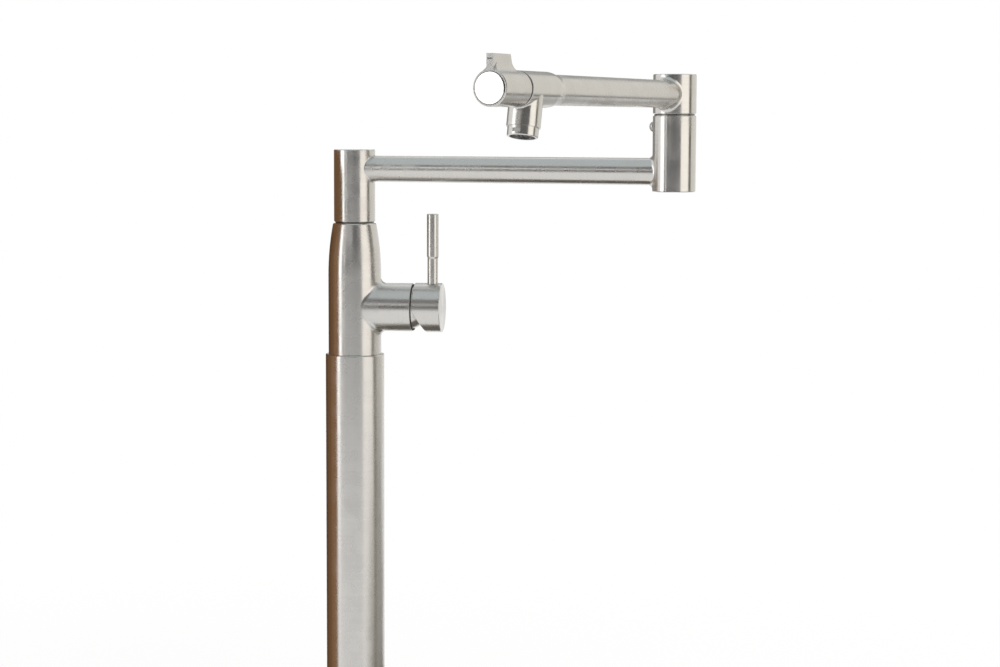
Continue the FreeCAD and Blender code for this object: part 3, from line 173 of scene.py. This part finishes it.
def pale_ground(name, colour, shade):
    """A white ground that takes the shadow of what stands on it, and is clear when looked at from below."""
    finish, tree, output = new_finish(name)
    place = add_node(tree, "ShaderNodeTexCoord").outputs["Object"]
    away = add_node(tree, "ShaderNodeVectorMath", links={0: place}, operation="LENGTH").outputs["Value"]
    white = add_node(tree, "ShaderNodeMapRange", {1: SHADOW_NEAR, 2: SHADOW_FAR, 3: shade, 4: 1.0},
                     {0: away}).outputs[0]
    matt = add_node(tree, "ShaderNodeBsdfDiffuse", {"Color": linear(colour)})
    glow = add_node(tree, "ShaderNodeEmission", {"Color": linear(colour), "Strength": 1.0})
    share = add_node(tree, "ShaderNodeMath", links={0: background_share(tree), 1: white}, operation="MULTIPLY")
    both = add_node(tree, "ShaderNodeMixShader",
                    links={0: share.outputs[0], 1: matt.outputs[0], 2: glow.outputs[0]})
    under = add_node(tree, "ShaderNodeNewGeometry").outputs["Backfacing"]
    clear = add_node(tree, "ShaderNodeBsdfTransparent")
    one_sided = add_node(tree, "ShaderNodeMixShader", links={0: under, 1: both.outputs[0], 2: clear.outputs[0]})
    tree.links.new(one_sided.outputs[0], output.inputs["Surface"])
    return finish


bpy.ops.object.select_all(action="DESELECT")
bpy.ops.mesh.primitive_plane_add(size=FLOOR_SIDE, location=(0, 0, FLOOR_HEIGHT))
floor = bpy.context.object
floor.name = "floor"
floor.data.materials.append(pale_ground("white studio floor", "#ffffff", SHADOW_SHARE))

world = bpy.data.worlds.new("studio")
bpy.context.scene.world = world
world.use_nodes = True
sky = world.node_tree
sky.nodes.clear()
room = add_node(sky, "ShaderNodeBackground", {"Color": linear("#f4f3f1"), "Strength": 0.55})
backdrop = add_node(sky, "ShaderNodeBackground", {"Color": linear("#ffffff"), "Strength": 1.0})
sky_mix = add_node(sky, "ShaderNodeMixShader",
                   links={0: background_share(sky), 1: room.outputs[0], 2: backdrop.outputs[0]})
add_node(sky, "ShaderNodeOutputWorld", links={"Surface": sky_mix.outputs[0]})
print("floor at", round(FLOOR_HEIGHT, 4))

# %% [markdown]
# Each card is a flat sheet that faces the tap. Its place is given as seen from the pillar: an angle left or right of
# the camera, a distance, and a height. A card is out of sight for the camera, throws no shadow and only shows in
# gloss, as a card held just outside the picture does.

# %% Cards round the tap
CAMERA_SIDE = math.atan2(camera.location.y, camera.location.x)
CARD_AWAY = 3.0
CARD_FOOT = -0.05
CARD_TOP = 2.6
CEILING_HEIGHT = 2.3


def card_finish(name, colour, strength):
    """An even card that gives back the same light all over."""
    finish, tree, output = new_finish(name)
    glow = add_node(tree, "ShaderNodeEmission", {"Color": linear(colour), "Strength": strength})
    tree.links.new(glow.outputs[0], output.inputs["Surface"])
    return finish


def hang_card(name, corners, colour, strength):
    """A four-cornered card from its corner points, shown in gloss only."""
    mesh = bpy.data.meshes.new(name)
    mesh.from_pydata([tuple(c) for c in corners], [], [(0, 1, 2, 3)])
    card = bpy.data.objects.new(name, mesh)
    bpy.context.collection.objects.link(card)
    mesh.materials.append(card_finish(name, colour, strength))
    card.visible_camera = False
    card.visible_shadow = False
    card.visible_diffuse = False
    return card


def round_spot(degrees, away, height):
    """A point at an angle from the camera's side, negative to the left."""
    turn = CAMERA_SIDE + math.radians(degrees)
    return Vector((away * math.cos(turn), away * math.sin(turn), height))


def stand_card(name, start, end, low, high, colour, strength, away=CARD_AWAY):
    """An upright card between two angles and two heights."""
    return hang_card(name, [round_spot(start, away, low), round_spot(end, away, low),
                            round_spot(end, away, high), round_spot(start, away, high)], colour, strength)


# In front, each band is two cards wide, so that it bends round the tap. Its name, foot, top and strength:
FRONT_BANDS = (("front_low_card", -0.02, 0.42, 0.32), ("front_grey_card", 0.42, 0.95, 0.06),
               ("front_strip_light", 0.95, 1.45, 1.0), ("front_valance", 1.45, 3.0, 0.2))
for name, low, high, strength in FRONT_BANDS:
    stand_card(name, -60, -14, low, high, "#ffffff", strength)
    stand_card(name + "_right", -14, 31, low, high, "#ffffff", strength)
# At the sides and behind, the cards are full height. Their name, two angles, colour and strength:
SIDE_CARDS = (("side_softbox", 31, 74, "#fffaf3", 1.45), ("side_flag", 74, 90, "#d8d2c0", 0.26),
              ("right_grey_card", 90, 150, "#f4f2ec", 1.0), ("back_right_card", 150, 178, "#f4f2ec", 0.45),
              ("left_strip_light", -81, -60, "#ffffff", 2.3), ("back_left_card", -178, -133, "#f4f2ec", 0.35))
for name, start, end, colour, strength in SIDE_CARDS:
    stand_card(name, start, end, CARD_FOOT, CARD_TOP, colour, strength)
stand_card("pillar_flag", 78, 90, FLOOR_HEIGHT, 0.3, "#d8d2c0", 0.42, away=0.42)
hang_card("ceiling_card", [(x, y, CEILING_HEIGHT) for x, y in ((-2.2, -1.9), (2.2, -1.9), (2.2, 1.2), (-2.2, 1.2))],
          "#e4eef2", 0.8)
print("cards stand", CARD_AWAY, "m round the tap, the camera's side at", round(math.degrees(CAMERA_SIDE), 1), "degrees")

# %% [markdown]
# The left edge of the pillar mirrors something brown and near, which darkens towards the rim. Narrow cards close to it
# do that: three beside the pillar and valve body, darker towards the back, one beside the shoulder and a smaller one at
# the swivel head, low and near enough that the elbow can't see them.
# The undersides mirror what lies below and behind the tap, which is darker than the floor in front of it.

# %% Near cards
BROWN = "#846244"
LYING_GAP = 4 * MM


def side_card(name, left, front, back, low, high, strength):
    """An upright brown card beside the pillar, seen edge on from the front."""
    return hang_card(name, [(left, front, low), (left, back, low), (left, back, high), (left, front, high)],
                     BROWN, strength)


def lay_card(name, left, right, front, back, colour, strength):
    """A card that lies just over the floor and shows in the undersides."""
    level = FLOOR_HEIGHT + LYING_GAP
    return hang_card(name, [(left, front, level), (right, front, level), (right, back, level), (left, back, level)],
                     colour, strength)


side_card("brown_card_front", -0.06, -0.046, -0.012, FLOOR_HEIGHT, 0.45, 1.2)
side_card("brown_card", -0.06, -0.012, 0.012, FLOOR_HEIGHT, 0.45, 0.86)
side_card("brown_card_back", -0.06, 0.012, 0.085, FLOOR_HEIGHT, 0.45, 0.56)
side_card("brown_card_shoulder", -0.06, -0.046, 0.12, 0.45, 0.5, 0.86)
side_card("brown_card_head", -0.035, -0.023, 0.027, 0.452, 0.52, 0.86)
lay_card("under_card", -0.25, 0.4, -0.07, 0.45, "#e8e0d2", 0.2)
lay_card("right_floor_card", 0.4, 1.35, -0.4, 1.05, "#f4f2ec", 0.45)
lay_card("back_floor_card", 1.35, 2.8, 0.3, 2.6, "#f4f2ec", 0.3)
print("near cards beside the pillar and over the floor at", round(FLOOR_HEIGHT, 4))

# %% [markdown]
# Some faces each mirror one small spot of the room: the polished end button of the outlet handle, the end of the
# mixer's cap, and the dark front of the small nozzle. A card is hung where the camera's line of sight bounces to, white
# for the two flat ends and dark for the nozzle.

# %% Cards for single faces


def mirror_card(name, point, facing, away, side, strength):
    """A square card at the place that a face mirrors to the camera."""
    look = (Vector(point) - camera.location).normalized()
    bounce = look - 2 * look.dot(facing) * facing
    middle = Vector(point) + bounce * away
    across = bounce.cross(UP).normalized() * side / 2
    over = across.cross(bounce).normalized() * side / 2
    return hang_card(name, [middle - across - over, middle + across - over, middle + across + over,
                            middle - across + over], "#ffffff", strength)


BUTTON_REACH = 339.3 * MM
CAP_REACH = 75.7 * MM
NOZZLE_DROP = 28 * MM
outlet_way = (UP * math.cos(OUTLET_TILT) - upper_way * math.sin(OUTLET_TILT)).normalized()
outlet_line = (outlet_point, outlet_way)
nozzle_middle = outlet_point - outlet_way * NOZZLE_DROP
nozzle_front = outlet_way.cross(camera.location - nozzle_middle).cross(outlet_way).normalized()
mirror_card("button_card", upper_start + upper_way * BUTTON_REACH, upper_way, 2.4, 0.24, 2.7)
mirror_card("cap_end_card", (CAP_REACH, 0, VALVE_HEIGHT), Vector((1, 0, 0)), 1.4, 0.5, 0.98)
mirror_card("nozzle_flag", nozzle_middle, nozzle_front, 0.3, 0.46, 0.15)
print("nozzle's middle at", [round(v, 4) for v in nozzle_middle])

# %% [markdown]
# Three large soft lamps make the light on everything that is not metal: one from the right and above as the main
# light, one from the left, and one from behind over the arms. They are kept out of the mirror images, where the
# cards already stand for them.

# %% Soft lamps
LAMP_AIM = Vector((0.1, -0.1, 0.35))


def soft_lamp(name, place, size, power):
    """A square lamp that looks at the middle of the tap."""
    lamp_data = bpy.data.lights.new(name, "AREA")
    lamp_data.size = size
    lamp_data.energy = power
    lamp = bpy.data.objects.new(name, lamp_data)
    lamp.location = place
    lamp.rotation_euler = (LAMP_AIM - Vector(place)).to_track_quat("-Z", "Y").to_euler()
    lamp.visible_glossy = False
    lamp.visible_camera = False
    bpy.context.collection.objects.link(lamp)
    return lamp


soft_lamp("main_lamp", (1.6, -1.8, 1.9), 1.4, 34)
soft_lamp("left_lamp", (-1.9, -1.2, 1.4), 1.6, 18)
soft_lamp("back_lamp", (0.4, 1.8, 1.8), 1.6, 16)
print("three soft lamps placed")

# %% [markdown]
# Brushed stainless steel: grade 304 tube and bar, turned and then brushed on the lathe, so hair-fine lines run round
# each piece. Such lines stretch a mirror image along the piece and keep it fairly crisp across it, which is what
# anisotropy does. The stretch needs a direction, and the cross product of the turning line and the place on the piece
# gives the way the brush ran, on tubes, shoulders and end faces alike.
# The back edge of the outlet handle carries a dark band all round, painted shade for the narrow gap behind it.

# %% Brushed stainless steel
STEEL = "#d3d1cd"
STEEL_HAIR = "#cecbc7"
# Painted shade for the narrow gap behind the outlet handle.
SEAM_PAINTED_SHADE = "#33322f"
# Sizes in millimetres. Real brush lines are about a tenth of one apart, and are drawn coarser here so that they show.
BRUSH_SPACING = 1.4
BRUSH_STRAY = 40.0
CLOUD_SIZE = 50 / 3


def brush_way(tree, place, line, normal):
    """Nodes for the stretch of the gloss on a piece turned round a line."""
    point, way = line
    from_point = add_node(tree, "ShaderNodeVectorMath", {1: point}, {0: place}, operation="SUBTRACT")
    round_way = add_node(tree, "ShaderNodeVectorMath", {0: way}, {1: from_point.outputs[0]},
                         operation="CROSS_PRODUCT")
    turned = add_node(tree, "ShaderNodeVectorTransform", links={0: round_way.outputs[0]},
                      vector_type="VECTOR", convert_from="OBJECT", convert_to="WORLD")
    stretch = add_node(tree, "ShaderNodeVectorMath", links={0: turned.outputs[0], 1: normal},
                       operation="CROSS_PRODUCT")
    return add_node(tree, "ShaderNodeVectorMath", links={0: stretch.outputs[0]}, operation="NORMALIZE").outputs[0]


def along_and_round(tree, place, line):
    """Coordinates that run fast along the turning line and slowly round it, in millimetres."""
    point, way = line
    turn = UP.rotation_difference(way).to_euler()
    from_point = add_node(tree, "ShaderNodeVectorMath", {1: point}, {0: place}, operation="SUBTRACT")
    squared = add_node(tree, "ShaderNodeVectorRotate", {"Rotation": turn}, {"Vector": from_point.outputs[0]},
                       rotation_type="EULER_XYZ", invert=True)
    return add_node(tree, "ShaderNodeVectorMath", {1: (1 / MM / BRUSH_STRAY, 1 / MM / BRUSH_STRAY,
                                                       1 / MM / BRUSH_SPACING)},
                    {0: squared.outputs[0]}, operation="MULTIPLY").outputs[0]


def brushed_steel(name, line, branch=None, painted_shade=None, roughness=0.27, stretch=0.5):
    """Steel brushed round a line, or round a second line past a reach, with a band of painted shade between two places.
    """
    finish, tree, output = new_finish(name)
    place = add_node(tree, "ShaderNodeTexCoord").outputs["Object"]
    normal = add_node(tree, "ShaderNodeNewGeometry").outputs["Normal"]
    lines = along_and_round(tree, place, line)
    way = brush_way(tree, place, line, normal)
    if branch:
        second_line, outward, reach = branch
        out = add_node(tree, "ShaderNodeVectorMath", {1: outward}, {0: place}, operation="DOT_PRODUCT")
        past = add_node(tree, "ShaderNodeMath", {1: reach}, {0: out.outputs["Value"]},
                        operation="GREATER_THAN").outputs[0]
        lines = add_node(tree, "ShaderNodeMix", links={0: past, 4: lines,
                                                       5: along_and_round(tree, place, second_line)},
                         data_type="VECTOR").outputs[1]
        way = add_node(tree, "ShaderNodeMix", links={0: past, 4: way,
                                                     5: brush_way(tree, place, second_line, normal)},
                       data_type="VECTOR").outputs[1]
    hairs = add_node(tree, "ShaderNodeTexNoise", {"Scale": 1.0, "Detail": 1.0, "Roughness": 0.5},
                     {"Vector": lines}).outputs["Fac"]
    clouds = add_node(tree, "ShaderNodeTexNoise", {"Scale": 1 / MM / CLOUD_SIZE, "Detail": 2.0},
                      {"Vector": place}).outputs["Fac"]
    tint = add_node(tree, "ShaderNodeMix", {6: linear(STEEL), 7: linear(STEEL_HAIR)}, {0: hairs},
                    data_type="RGBA").outputs[2]
    # Between the two places along the line the colour turns dark: painted shade for a narrow gap.
    if painted_shade:
        point, along = line
        middle, half = point.dot(along) + sum(painted_shade) / 2, (painted_shade[1] - painted_shade[0]) / 2
        reach = add_node(tree, "ShaderNodeVectorMath", {1: along}, {0: place}, operation="DOT_PRODUCT")
        inside = add_node(tree, "ShaderNodeMath", {1: middle, 2: half}, {0: reach.outputs["Value"]},
                          operation="COMPARE")
        tint = add_node(tree, "ShaderNodeMix", {7: linear(SEAM_PAINTED_SHADE)}, {0: inside.outputs[0], 6: tint},
                        data_type="RGBA").outputs[2]
    wear = add_node(tree, "ShaderNodeMath", {1: 0.05}, {0: hairs, 2: clouds}, operation="MULTIPLY_ADD").outputs[0]
    rough = add_node(tree, "ShaderNodeMapRange", {1: 0.3, 2: 0.8, 3: roughness - 0.05, 4: roughness + 0.06},
                     {0: wear}).outputs[0]
    lift = add_node(tree, "ShaderNodeBump", {"Strength": 0.03, "Distance": 0.02 * MM}, {"Height": hairs}).outputs[0]
    steel = add_node(tree, "ShaderNodeBsdfPrincipled", {"Metallic": 1.0, "Anisotropic": stretch},
                     {"Base Color": tint, "Roughness": rough, "Normal": lift, "Tangent": way})
    tree.links.new(steel.outputs[0], output.inputs["Surface"])
    return finish


def wear_finish(finish, *names):
    """Gives the named CAD pieces one finish all over."""
    for name in names:
        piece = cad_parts[name]
        piece.data.materials.clear()
        piece.data.materials.append(finish)
    print(finish.name, "on", ", ".join(names))


BRANCH_START = 24 * MM
NOZZLE_START = 13 * MM
wear_finish(brushed_steel("brushed stainless steel, pillar", column_line),
            "base_flange", "pillar_tube", "swivel_head")
wear_finish(brushed_steel("brushed stainless steel, valve body", column_line,
                          branch=(branch_line, branch_line[1], BRANCH_START)), "valve_body")
wear_finish(brushed_steel("brushed stainless steel, mixer cap", branch_line), "lever_cap", "cartridge_dome")
wear_finish(brushed_steel("brushed stainless steel, lever", lever_line), "lever_rod")
wear_finish(brushed_steel("brushed stainless steel, lower arm", lower_line), "lower_arm_tube")
wear_finish(brushed_steel("brushed stainless steel, elbow", elbow_line, roughness=0.23),
            "outer_knuckle", "upper_knuckle")
# The dark band on the handle's back edge is painted shade for the gap behind it.
HANDLE_PAINTED_SHADE = (296.0 * MM, 298.5 * MM)
wear_finish(brushed_steel("brushed stainless steel, upper arm, painted gap shade", upper_line, painted_shade=HANDLE_PAINTED_SHADE),
            "upper_arm_tube", "handle_ring")
wear_finish(brushed_steel("brushed stainless steel, outlet body", upper_line, roughness=0.23,
                          branch=(outlet_line, -UP, NOZZLE_START - upper_start.z)), "outlet_valve_body")
wear_finish(brushed_steel("brushed stainless steel, outlet", outlet_line, roughness=0.23), "aerator_housing")

# %% [markdown]
# The other metal pieces are small or hidden, and each still has the surface of what it is made of: polished steel for
# the end button, plain machined steel for screws and pins, turned brass for the threaded inner pieces and drawn copper
# for the two risers. A picture of scratches could be wrapped round each, but one noise that runs round a turning line
# does for all of them and needs no unwrapping. Real tool lines are finer than the half millimetre drawn here, which is
# as fine as the render can show.

# %% Plain metals


def turned_metal(name, colour, dark, roughness, line=column_line, spacing=0.5):
    """A machined metal with fine tool lines round a turning line."""
    finish, tree, output = new_finish(name)
    place = add_node(tree, "ShaderNodeTexCoord").outputs["Object"]
    lines = along_and_round(tree, place, line)
    hairs = add_node(tree, "ShaderNodeTexNoise", {"Scale": BRUSH_SPACING / spacing, "Detail": 2.0},
                     {"Vector": lines}).outputs["Fac"]
    tint = add_node(tree, "ShaderNodeMix", {6: linear(dark), 7: linear(colour)}, {0: hairs},
                    data_type="RGBA").outputs[2]
    rough = add_node(tree, "ShaderNodeMapRange", {1: 0.3, 2: 0.7, 3: roughness - 0.05, 4: roughness + 0.07},
                     {0: hairs}).outputs[0]
    lift = add_node(tree, "ShaderNodeBump", {"Strength": 0.1, "Distance": 0.02 * MM}, {"Height": hairs}).outputs[0]
    metal = add_node(tree, "ShaderNodeBsdfPrincipled", {"Metallic": 1.0},
                     {"Base Color": tint, "Roughness": rough, "Normal": lift})
    tree.links.new(metal.outputs[0], output.inputs["Surface"])
    return finish


# Polished steel gives a clear mirror image, with only a trace of rings.
wear_finish(turned_metal("polished stainless steel", "#d6d5d2", "#cfcdca", 0.1, upper_line), "handle_cap")
# Machined steel is a satin grey that the tool lines break up.
wear_finish(turned_metal("machined stainless steel", "#b9b7b3", "#a3a19c", 0.28),
            "pillar_grub_screw", "head_grub_screw", "cap_grub_screw", "knuckle_screw", "handle_screw", "pivot_pin",
            "control_stem", "clamp_washer", "valve_spindle")
# Turned brass is a warm yellow with darker lines where the tool cut.
brass = turned_metal("turned brass", "#c9a765", "#a98a4c", 0.26)
wear_finish(brass, "mounting_shank", "lock_nut", "inlet_block", "swivel_spigot", "elbow_spigot", "cartridge_nut",
            "valve_headwork")
# Drawn copper is a soft red-brown, a little dull from handling.
wear_finish(turned_metal("drawn copper pipe", "#c98a68", "#a8694c", 0.3), "hot_riser", "cold_riser")

# %% [markdown]
# Seals, bearings and sealing discs are moulded or ground. Their skin is a faint grain, which could be left out on
# pieces this small, but a perfectly even surface looks like plastic film close up. The grain is finer on the real
# pieces. It is drawn here about a millimetre wide, so that it shows.

# %% Rubber, plastics and ceramic


def moulded(name, colour, dark, roughness, grain, bump):
    """A moulded or ground surface with a fine grain, its size given in millimetres."""
    finish, tree, output = new_finish(name)
    place = add_node(tree, "ShaderNodeTexCoord").outputs["Object"]
    grains = add_node(tree, "ShaderNodeTexNoise", {"Scale": 1 / MM / grain, "Detail": 3.0},
                      {"Vector": place}).outputs["Fac"]
    tint = add_node(tree, "ShaderNodeMix", {6: linear(dark), 7: linear(colour)}, {0: grains},
                    data_type="RGBA").outputs[2]
    rough = add_node(tree, "ShaderNodeMapRange", {1: 0.3, 2: 0.7, 3: roughness - 0.06, 4: roughness + 0.06},
                     {0: grains}).outputs[0]
    lift = add_node(tree, "ShaderNodeBump", {"Strength": bump, "Distance": 0.05 * MM}, {"Height": grains}).outputs[0]
    skin = add_node(tree, "ShaderNodeBsdfPrincipled", {"IOR": 1.5},
                    {"Base Color": tint, "Roughness": rough, "Normal": lift})
    tree.links.new(skin.outputs[0], output.inputs["Surface"])
    return finish


# EPDM rubber is dull and nearly black. The dome seal is such a seal, and its black also stands in for the shade in the
# gap between the valve body's branch and the mixer cap.
wear_finish(moulded("moulded EPDM rubber", "#2b2b2c", "#1d1d1e", 0.62, 0.8, 0.3),
            "base_gasket", "clamp_rubber_washer", "swivel_oring_near", "swivel_oring_far", "elbow_oring_near",
            "elbow_oring_far", "headwork_oring", "cartridge_seal", "aerator_washer", "dome_seal")
# Acetal is smooth with a soft, waxy gloss, here in black and in milky white.
black_acetal = moulded("moulded black acetal", "#303133", "#242527", 0.42, 0.9, 0.15)
wear_finish(black_acetal, "swivel_bearing", "elbow_bearing", "aerator_insert")
wear_finish(moulded("moulded white acetal", "#e6e5e0", "#dad9d3", 0.38, 0.9, 0.12),
            "cartridge_housing", "mixer_driver", "disc_carrier")
# Lapped ceramic is a creamy white with a tight highlight.
wear_finish(moulded("lapped alumina ceramic", "#f1efe8", "#e8e5dc", 0.2, 0.6, 0.05),
            "fixed_disc", "moving_disc", "outlet_fixed_disc", "outlet_turning_disc")

# %% [markdown]
# Under the worktop a brass shank and a hexagon nut hold the tap. The solids keep plain forms there, so the thread is
# modelled here. A stack of grooves would look right from afar, but a thread climbs, so a triangle is wound up round the
# shank by the Screw modifier, over a core that is drawn out of a circle ring by ring, as on a lathe.

# %% Threaded shank
SHANK_RADIUS = 16 * MM
SHANK_BORE = 13 * MM
THREAD_PITCH = 1.5 * MM
THREAD_TURNS = 40
THREAD_ROOT = SHANK_RADIUS - 0.85 * MM
SHANK_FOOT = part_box("mounting_shank")[0][2]
SHANK_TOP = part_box("mounting_shank")[1][2]
COLLAR_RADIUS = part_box("mounting_shank")[1][0]
COLLAR_FOOT = SHANK_TOP - 4 * MM
SHANK_CHAMFER = 0.6 * MM
THREAD_RUNOUT = 0.8 * MM
THREAD_STEPS = 48
RING_POINTS = 96
MERGE_GAP = 0.001 * MM


def draw_rings(name, rings):
    """A closed turned piece: a circle drawn out from ring to ring, each a radius and a height, back to its start."""
    bpy.ops.object.select_all(action="DESELECT")
    radius, height = rings[0]
    bpy.ops.mesh.primitive_circle_add(vertices=RING_POINTS, radius=radius, location=(0, 0, height))
    piece = bpy.context.object
    piece.name = name
    bpy.ops.object.transform_apply(location=True, rotation=True, scale=True)
    bpy.ops.object.mode_set(mode="EDIT")
    bpy.ops.mesh.select_all(action="SELECT")
    for next_radius, next_height in rings[1:] + rings[:1]:
        bpy.ops.mesh.extrude_edges_move(TRANSFORM_OT_translate={"value": (0, 0, next_height - height)})
        widen = next_radius / radius
        bpy.ops.transform.resize(value=(widen, widen, 1), center_override=(0, 0, 0))
        radius, height = next_radius, next_height
    bpy.ops.mesh.select_all(action="SELECT")
    bpy.ops.mesh.remove_doubles(threshold=MERGE_GAP)
    bpy.ops.mesh.normals_make_consistent(inside=False)
    bpy.ops.object.mode_set(mode="OBJECT")
    return piece


def wind_thread(name, crest, foot, pitch, turns):
    """A closed ridge with a triangle for its section, wound up round the Z axis."""
    bpy.ops.object.select_all(action="DESELECT")
    size = pitch / math.sqrt(3)
    bpy.ops.mesh.primitive_circle_add(vertices=3, radius=size, location=(crest - size, 0, foot + pitch / 2),
                                      rotation=(math.pi / 2, math.pi / 2, 0))
    ridge = bpy.context.object
    ridge.name = name
    bpy.ops.object.transform_apply(location=True, rotation=True, scale=True)
    winding = ridge.modifiers.new("winding", "SCREW")
    winding.axis = "Z"
    winding.screw_offset = pitch
    winding.iterations = turns
    winding.steps = winding.render_steps = THREAD_STEPS
    bpy.ops.object.modifier_apply(modifier="winding")
    bpy.ops.object.mode_set(mode="EDIT")
    bpy.ops.mesh.select_all(action="SELECT")
    bpy.ops.mesh.fill_holes(sides=3)
    bpy.ops.mesh.normals_make_consistent(inside=False)
    bpy.ops.object.mode_set(mode="OBJECT")
    return ridge


def dress_piece(piece, finish):
    """Gives a modelled piece one finish all over."""
    piece.data.materials.clear()
    piece.data.materials.append(finish)


shank = draw_rings("threaded_shank", [
    (SHANK_BORE, SHANK_FOOT), (THREAD_ROOT - SHANK_CHAMFER, SHANK_FOOT),
    (THREAD_ROOT, SHANK_FOOT + SHANK_CHAMFER), (THREAD_ROOT, -THREAD_RUNOUT), (SHANK_RADIUS, 0),
    (SHANK_RADIUS, COLLAR_FOOT), (COLLAR_RADIUS, COLLAR_FOOT), (COLLAR_RADIUS, SHANK_TOP), (SHANK_BORE, SHANK_TOP)])
ridge = wind_thread("shank_ridge", SHANK_RADIUS, SHANK_FOOT + SHANK_CHAMFER, THREAD_PITCH, THREAD_TURNS)
bpy.ops.object.select_all(action="DESELECT")
ridge.select_set(True)
shank.select_set(True)
bpy.context.view_layer.objects.active = shank
bpy.ops.object.join()
bpy.ops.object.shade_smooth_by_angle(angle=math.radians(30))
dress_piece(shank, brass)
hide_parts("mounting_shank")
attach(shank, "pillar")
print("thread of", THREAD_TURNS, "turns,", len(shank.data.polygons), "faces")

# %% [markdown]
# A hexagon nut is cut from bar: its corners are turned off at a slant, which leaves a curved edge on each flat, and its
# bore is broken at both ends. Cutting a six-sided prism with a turned form of that slant gives the same curves.

# %% Hexagon nut
NUT_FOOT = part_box("lock_nut")[0][2]
NUT_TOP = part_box("lock_nut")[1][2]
NUT_FLATS = 46 * MM
NUT_CORNERS = NUT_FLATS / math.sqrt(3)
NUT_BORE = SHANK_RADIUS + 0.05 * MM
CORNER_SLANT = 1.9 * MM
FACE_RADIUS = NUT_FLATS / 2 - 0.3 * MM
BORE_BREAK = 0.8 * MM

bpy.ops.object.select_all(action="DESELECT")
bpy.ops.mesh.primitive_cylinder_add(vertices=6, radius=NUT_CORNERS, depth=NUT_TOP - NUT_FOOT,
                                    location=(0, 0, (NUT_TOP + NUT_FOOT) / 2))
nut = bpy.context.object
nut.name = "hexagon_nut"
bpy.ops.object.transform_apply(location=True, rotation=True, scale=True)
turned_form = draw_rings("nut_turned_form", [
    (NUT_BORE + BORE_BREAK, NUT_FOOT), (FACE_RADIUS, NUT_FOOT), (NUT_CORNERS, NUT_FOOT + CORNER_SLANT),
    (NUT_CORNERS, NUT_TOP - CORNER_SLANT), (FACE_RADIUS, NUT_TOP), (NUT_BORE + BORE_BREAK, NUT_TOP),
    (NUT_BORE, NUT_TOP - BORE_BREAK), (NUT_BORE, NUT_FOOT + BORE_BREAK)])
bpy.ops.object.select_all(action="DESELECT")
nut.select_set(True)
bpy.context.view_layer.objects.active = nut
cut = nut.modifiers.new("turning", "BOOLEAN")
cut.operation = "INTERSECT"
cut.object = turned_form
bpy.ops.object.modifier_apply(modifier="turning")
bpy.data.objects.remove(turned_form)
bpy.ops.object.shade_smooth_by_angle(angle=math.radians(25))
dress_piece(nut, brass)
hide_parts("lock_nut")
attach(nut, "pillar")
print("nut", round(NUT_FLATS / MM), "mm across its flats,", len(nut.data.polygons), "faces")

# %% [markdown]
# The seam behind the outlet handle is dark all round. A thin acetal washer lies in it, so that the handle turns on
# plastic and not on the steel of the outlet body, and its black also stands in for the shade in that narrow gap. It is
# drawn ring by ring like the shank, and laid on the arm's line.

# %% Handle washer
WASHER_START = 296.05 * MM
WASHER_HEIGHT = 1.0 * MM
WASHER_BORE = 9.4 * MM
WASHER_RADIUS = 12.6 * MM
WASHER_EDGE = 0.1 * MM
# The washer's black stands in for the shade in the gap behind the handle.
washer = draw_rings("handle_shade_washer", [
    (WASHER_BORE, 0), (WASHER_RADIUS - WASHER_EDGE, 0), (WASHER_RADIUS, WASHER_EDGE),
    (WASHER_RADIUS, WASHER_HEIGHT - WASHER_EDGE), (WASHER_RADIUS - WASHER_EDGE, WASHER_HEIGHT),
    (WASHER_BORE, WASHER_HEIGHT)])
washer.rotation_euler = UP.rotation_difference(upper_way).to_euler()
washer.location = upper_start + upper_way * WASHER_START
bpy.ops.object.transform_apply(location=True, rotation=True, scale=True)
bpy.ops.object.shade_smooth_by_angle(angle=math.radians(30))
dress_piece(washer, black_acetal)
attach(washer, "upper_arm")
print("washer", round(2 * WASHER_RADIUS / MM, 1), "mm wide behind the handle")

# %% [markdown]
# The handle's tab has a short groove in its front that shows where it points. A small grey bar with broken edges is
# laid in the groove, a little under the face.

# %% Groove mark
HANDLE_END = 338.5 * MM
GROOVE_DEPTH = 0.6 * MM
MARK_SIZE = (0.45 * MM, 3.6 * MM, 1.1 * MM)
MARK_RISE = 19.8 * MM
MARK_PLAY = 0.02 * MM
MARK_EDGE = 0.1 * MM
# The fill is a grey with a low gloss.
groove_fill = moulded("dark enamel fill", "#77787a", "#6c6d6f", 0.45, 0.4, 0.1)
bpy.ops.object.select_all(action="DESELECT")
bpy.ops.mesh.primitive_cube_add(size=1, location=(HANDLE_END - GROOVE_DEPTH + MARK_PLAY + MARK_SIZE[0] / 2, 0,
                                                  MARK_RISE))
mark = bpy.context.object
mark.name = "tab_mark"
mark.scale = MARK_SIZE
bpy.ops.object.transform_apply(location=True, rotation=True, scale=True)
bpy.ops.object.mode_set(mode="EDIT")
bpy.ops.mesh.select_all(action="SELECT")
bpy.ops.mesh.bevel(offset=MARK_EDGE, segments=2)
bpy.ops.mesh.normals_make_consistent(inside=False)
bpy.ops.object.mode_set(mode="OBJECT")
mark.rotation_euler = (0, 0, UPPER_TURN)
mark.location = upper_start
bpy.ops.object.transform_apply(location=True, rotation=True, scale=True)
dress_piece(mark, groove_fill)
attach(mark, "outlet_handle")
print("enamel mark", [round(v / MM, 2) for v in MARK_SIZE], "mm")
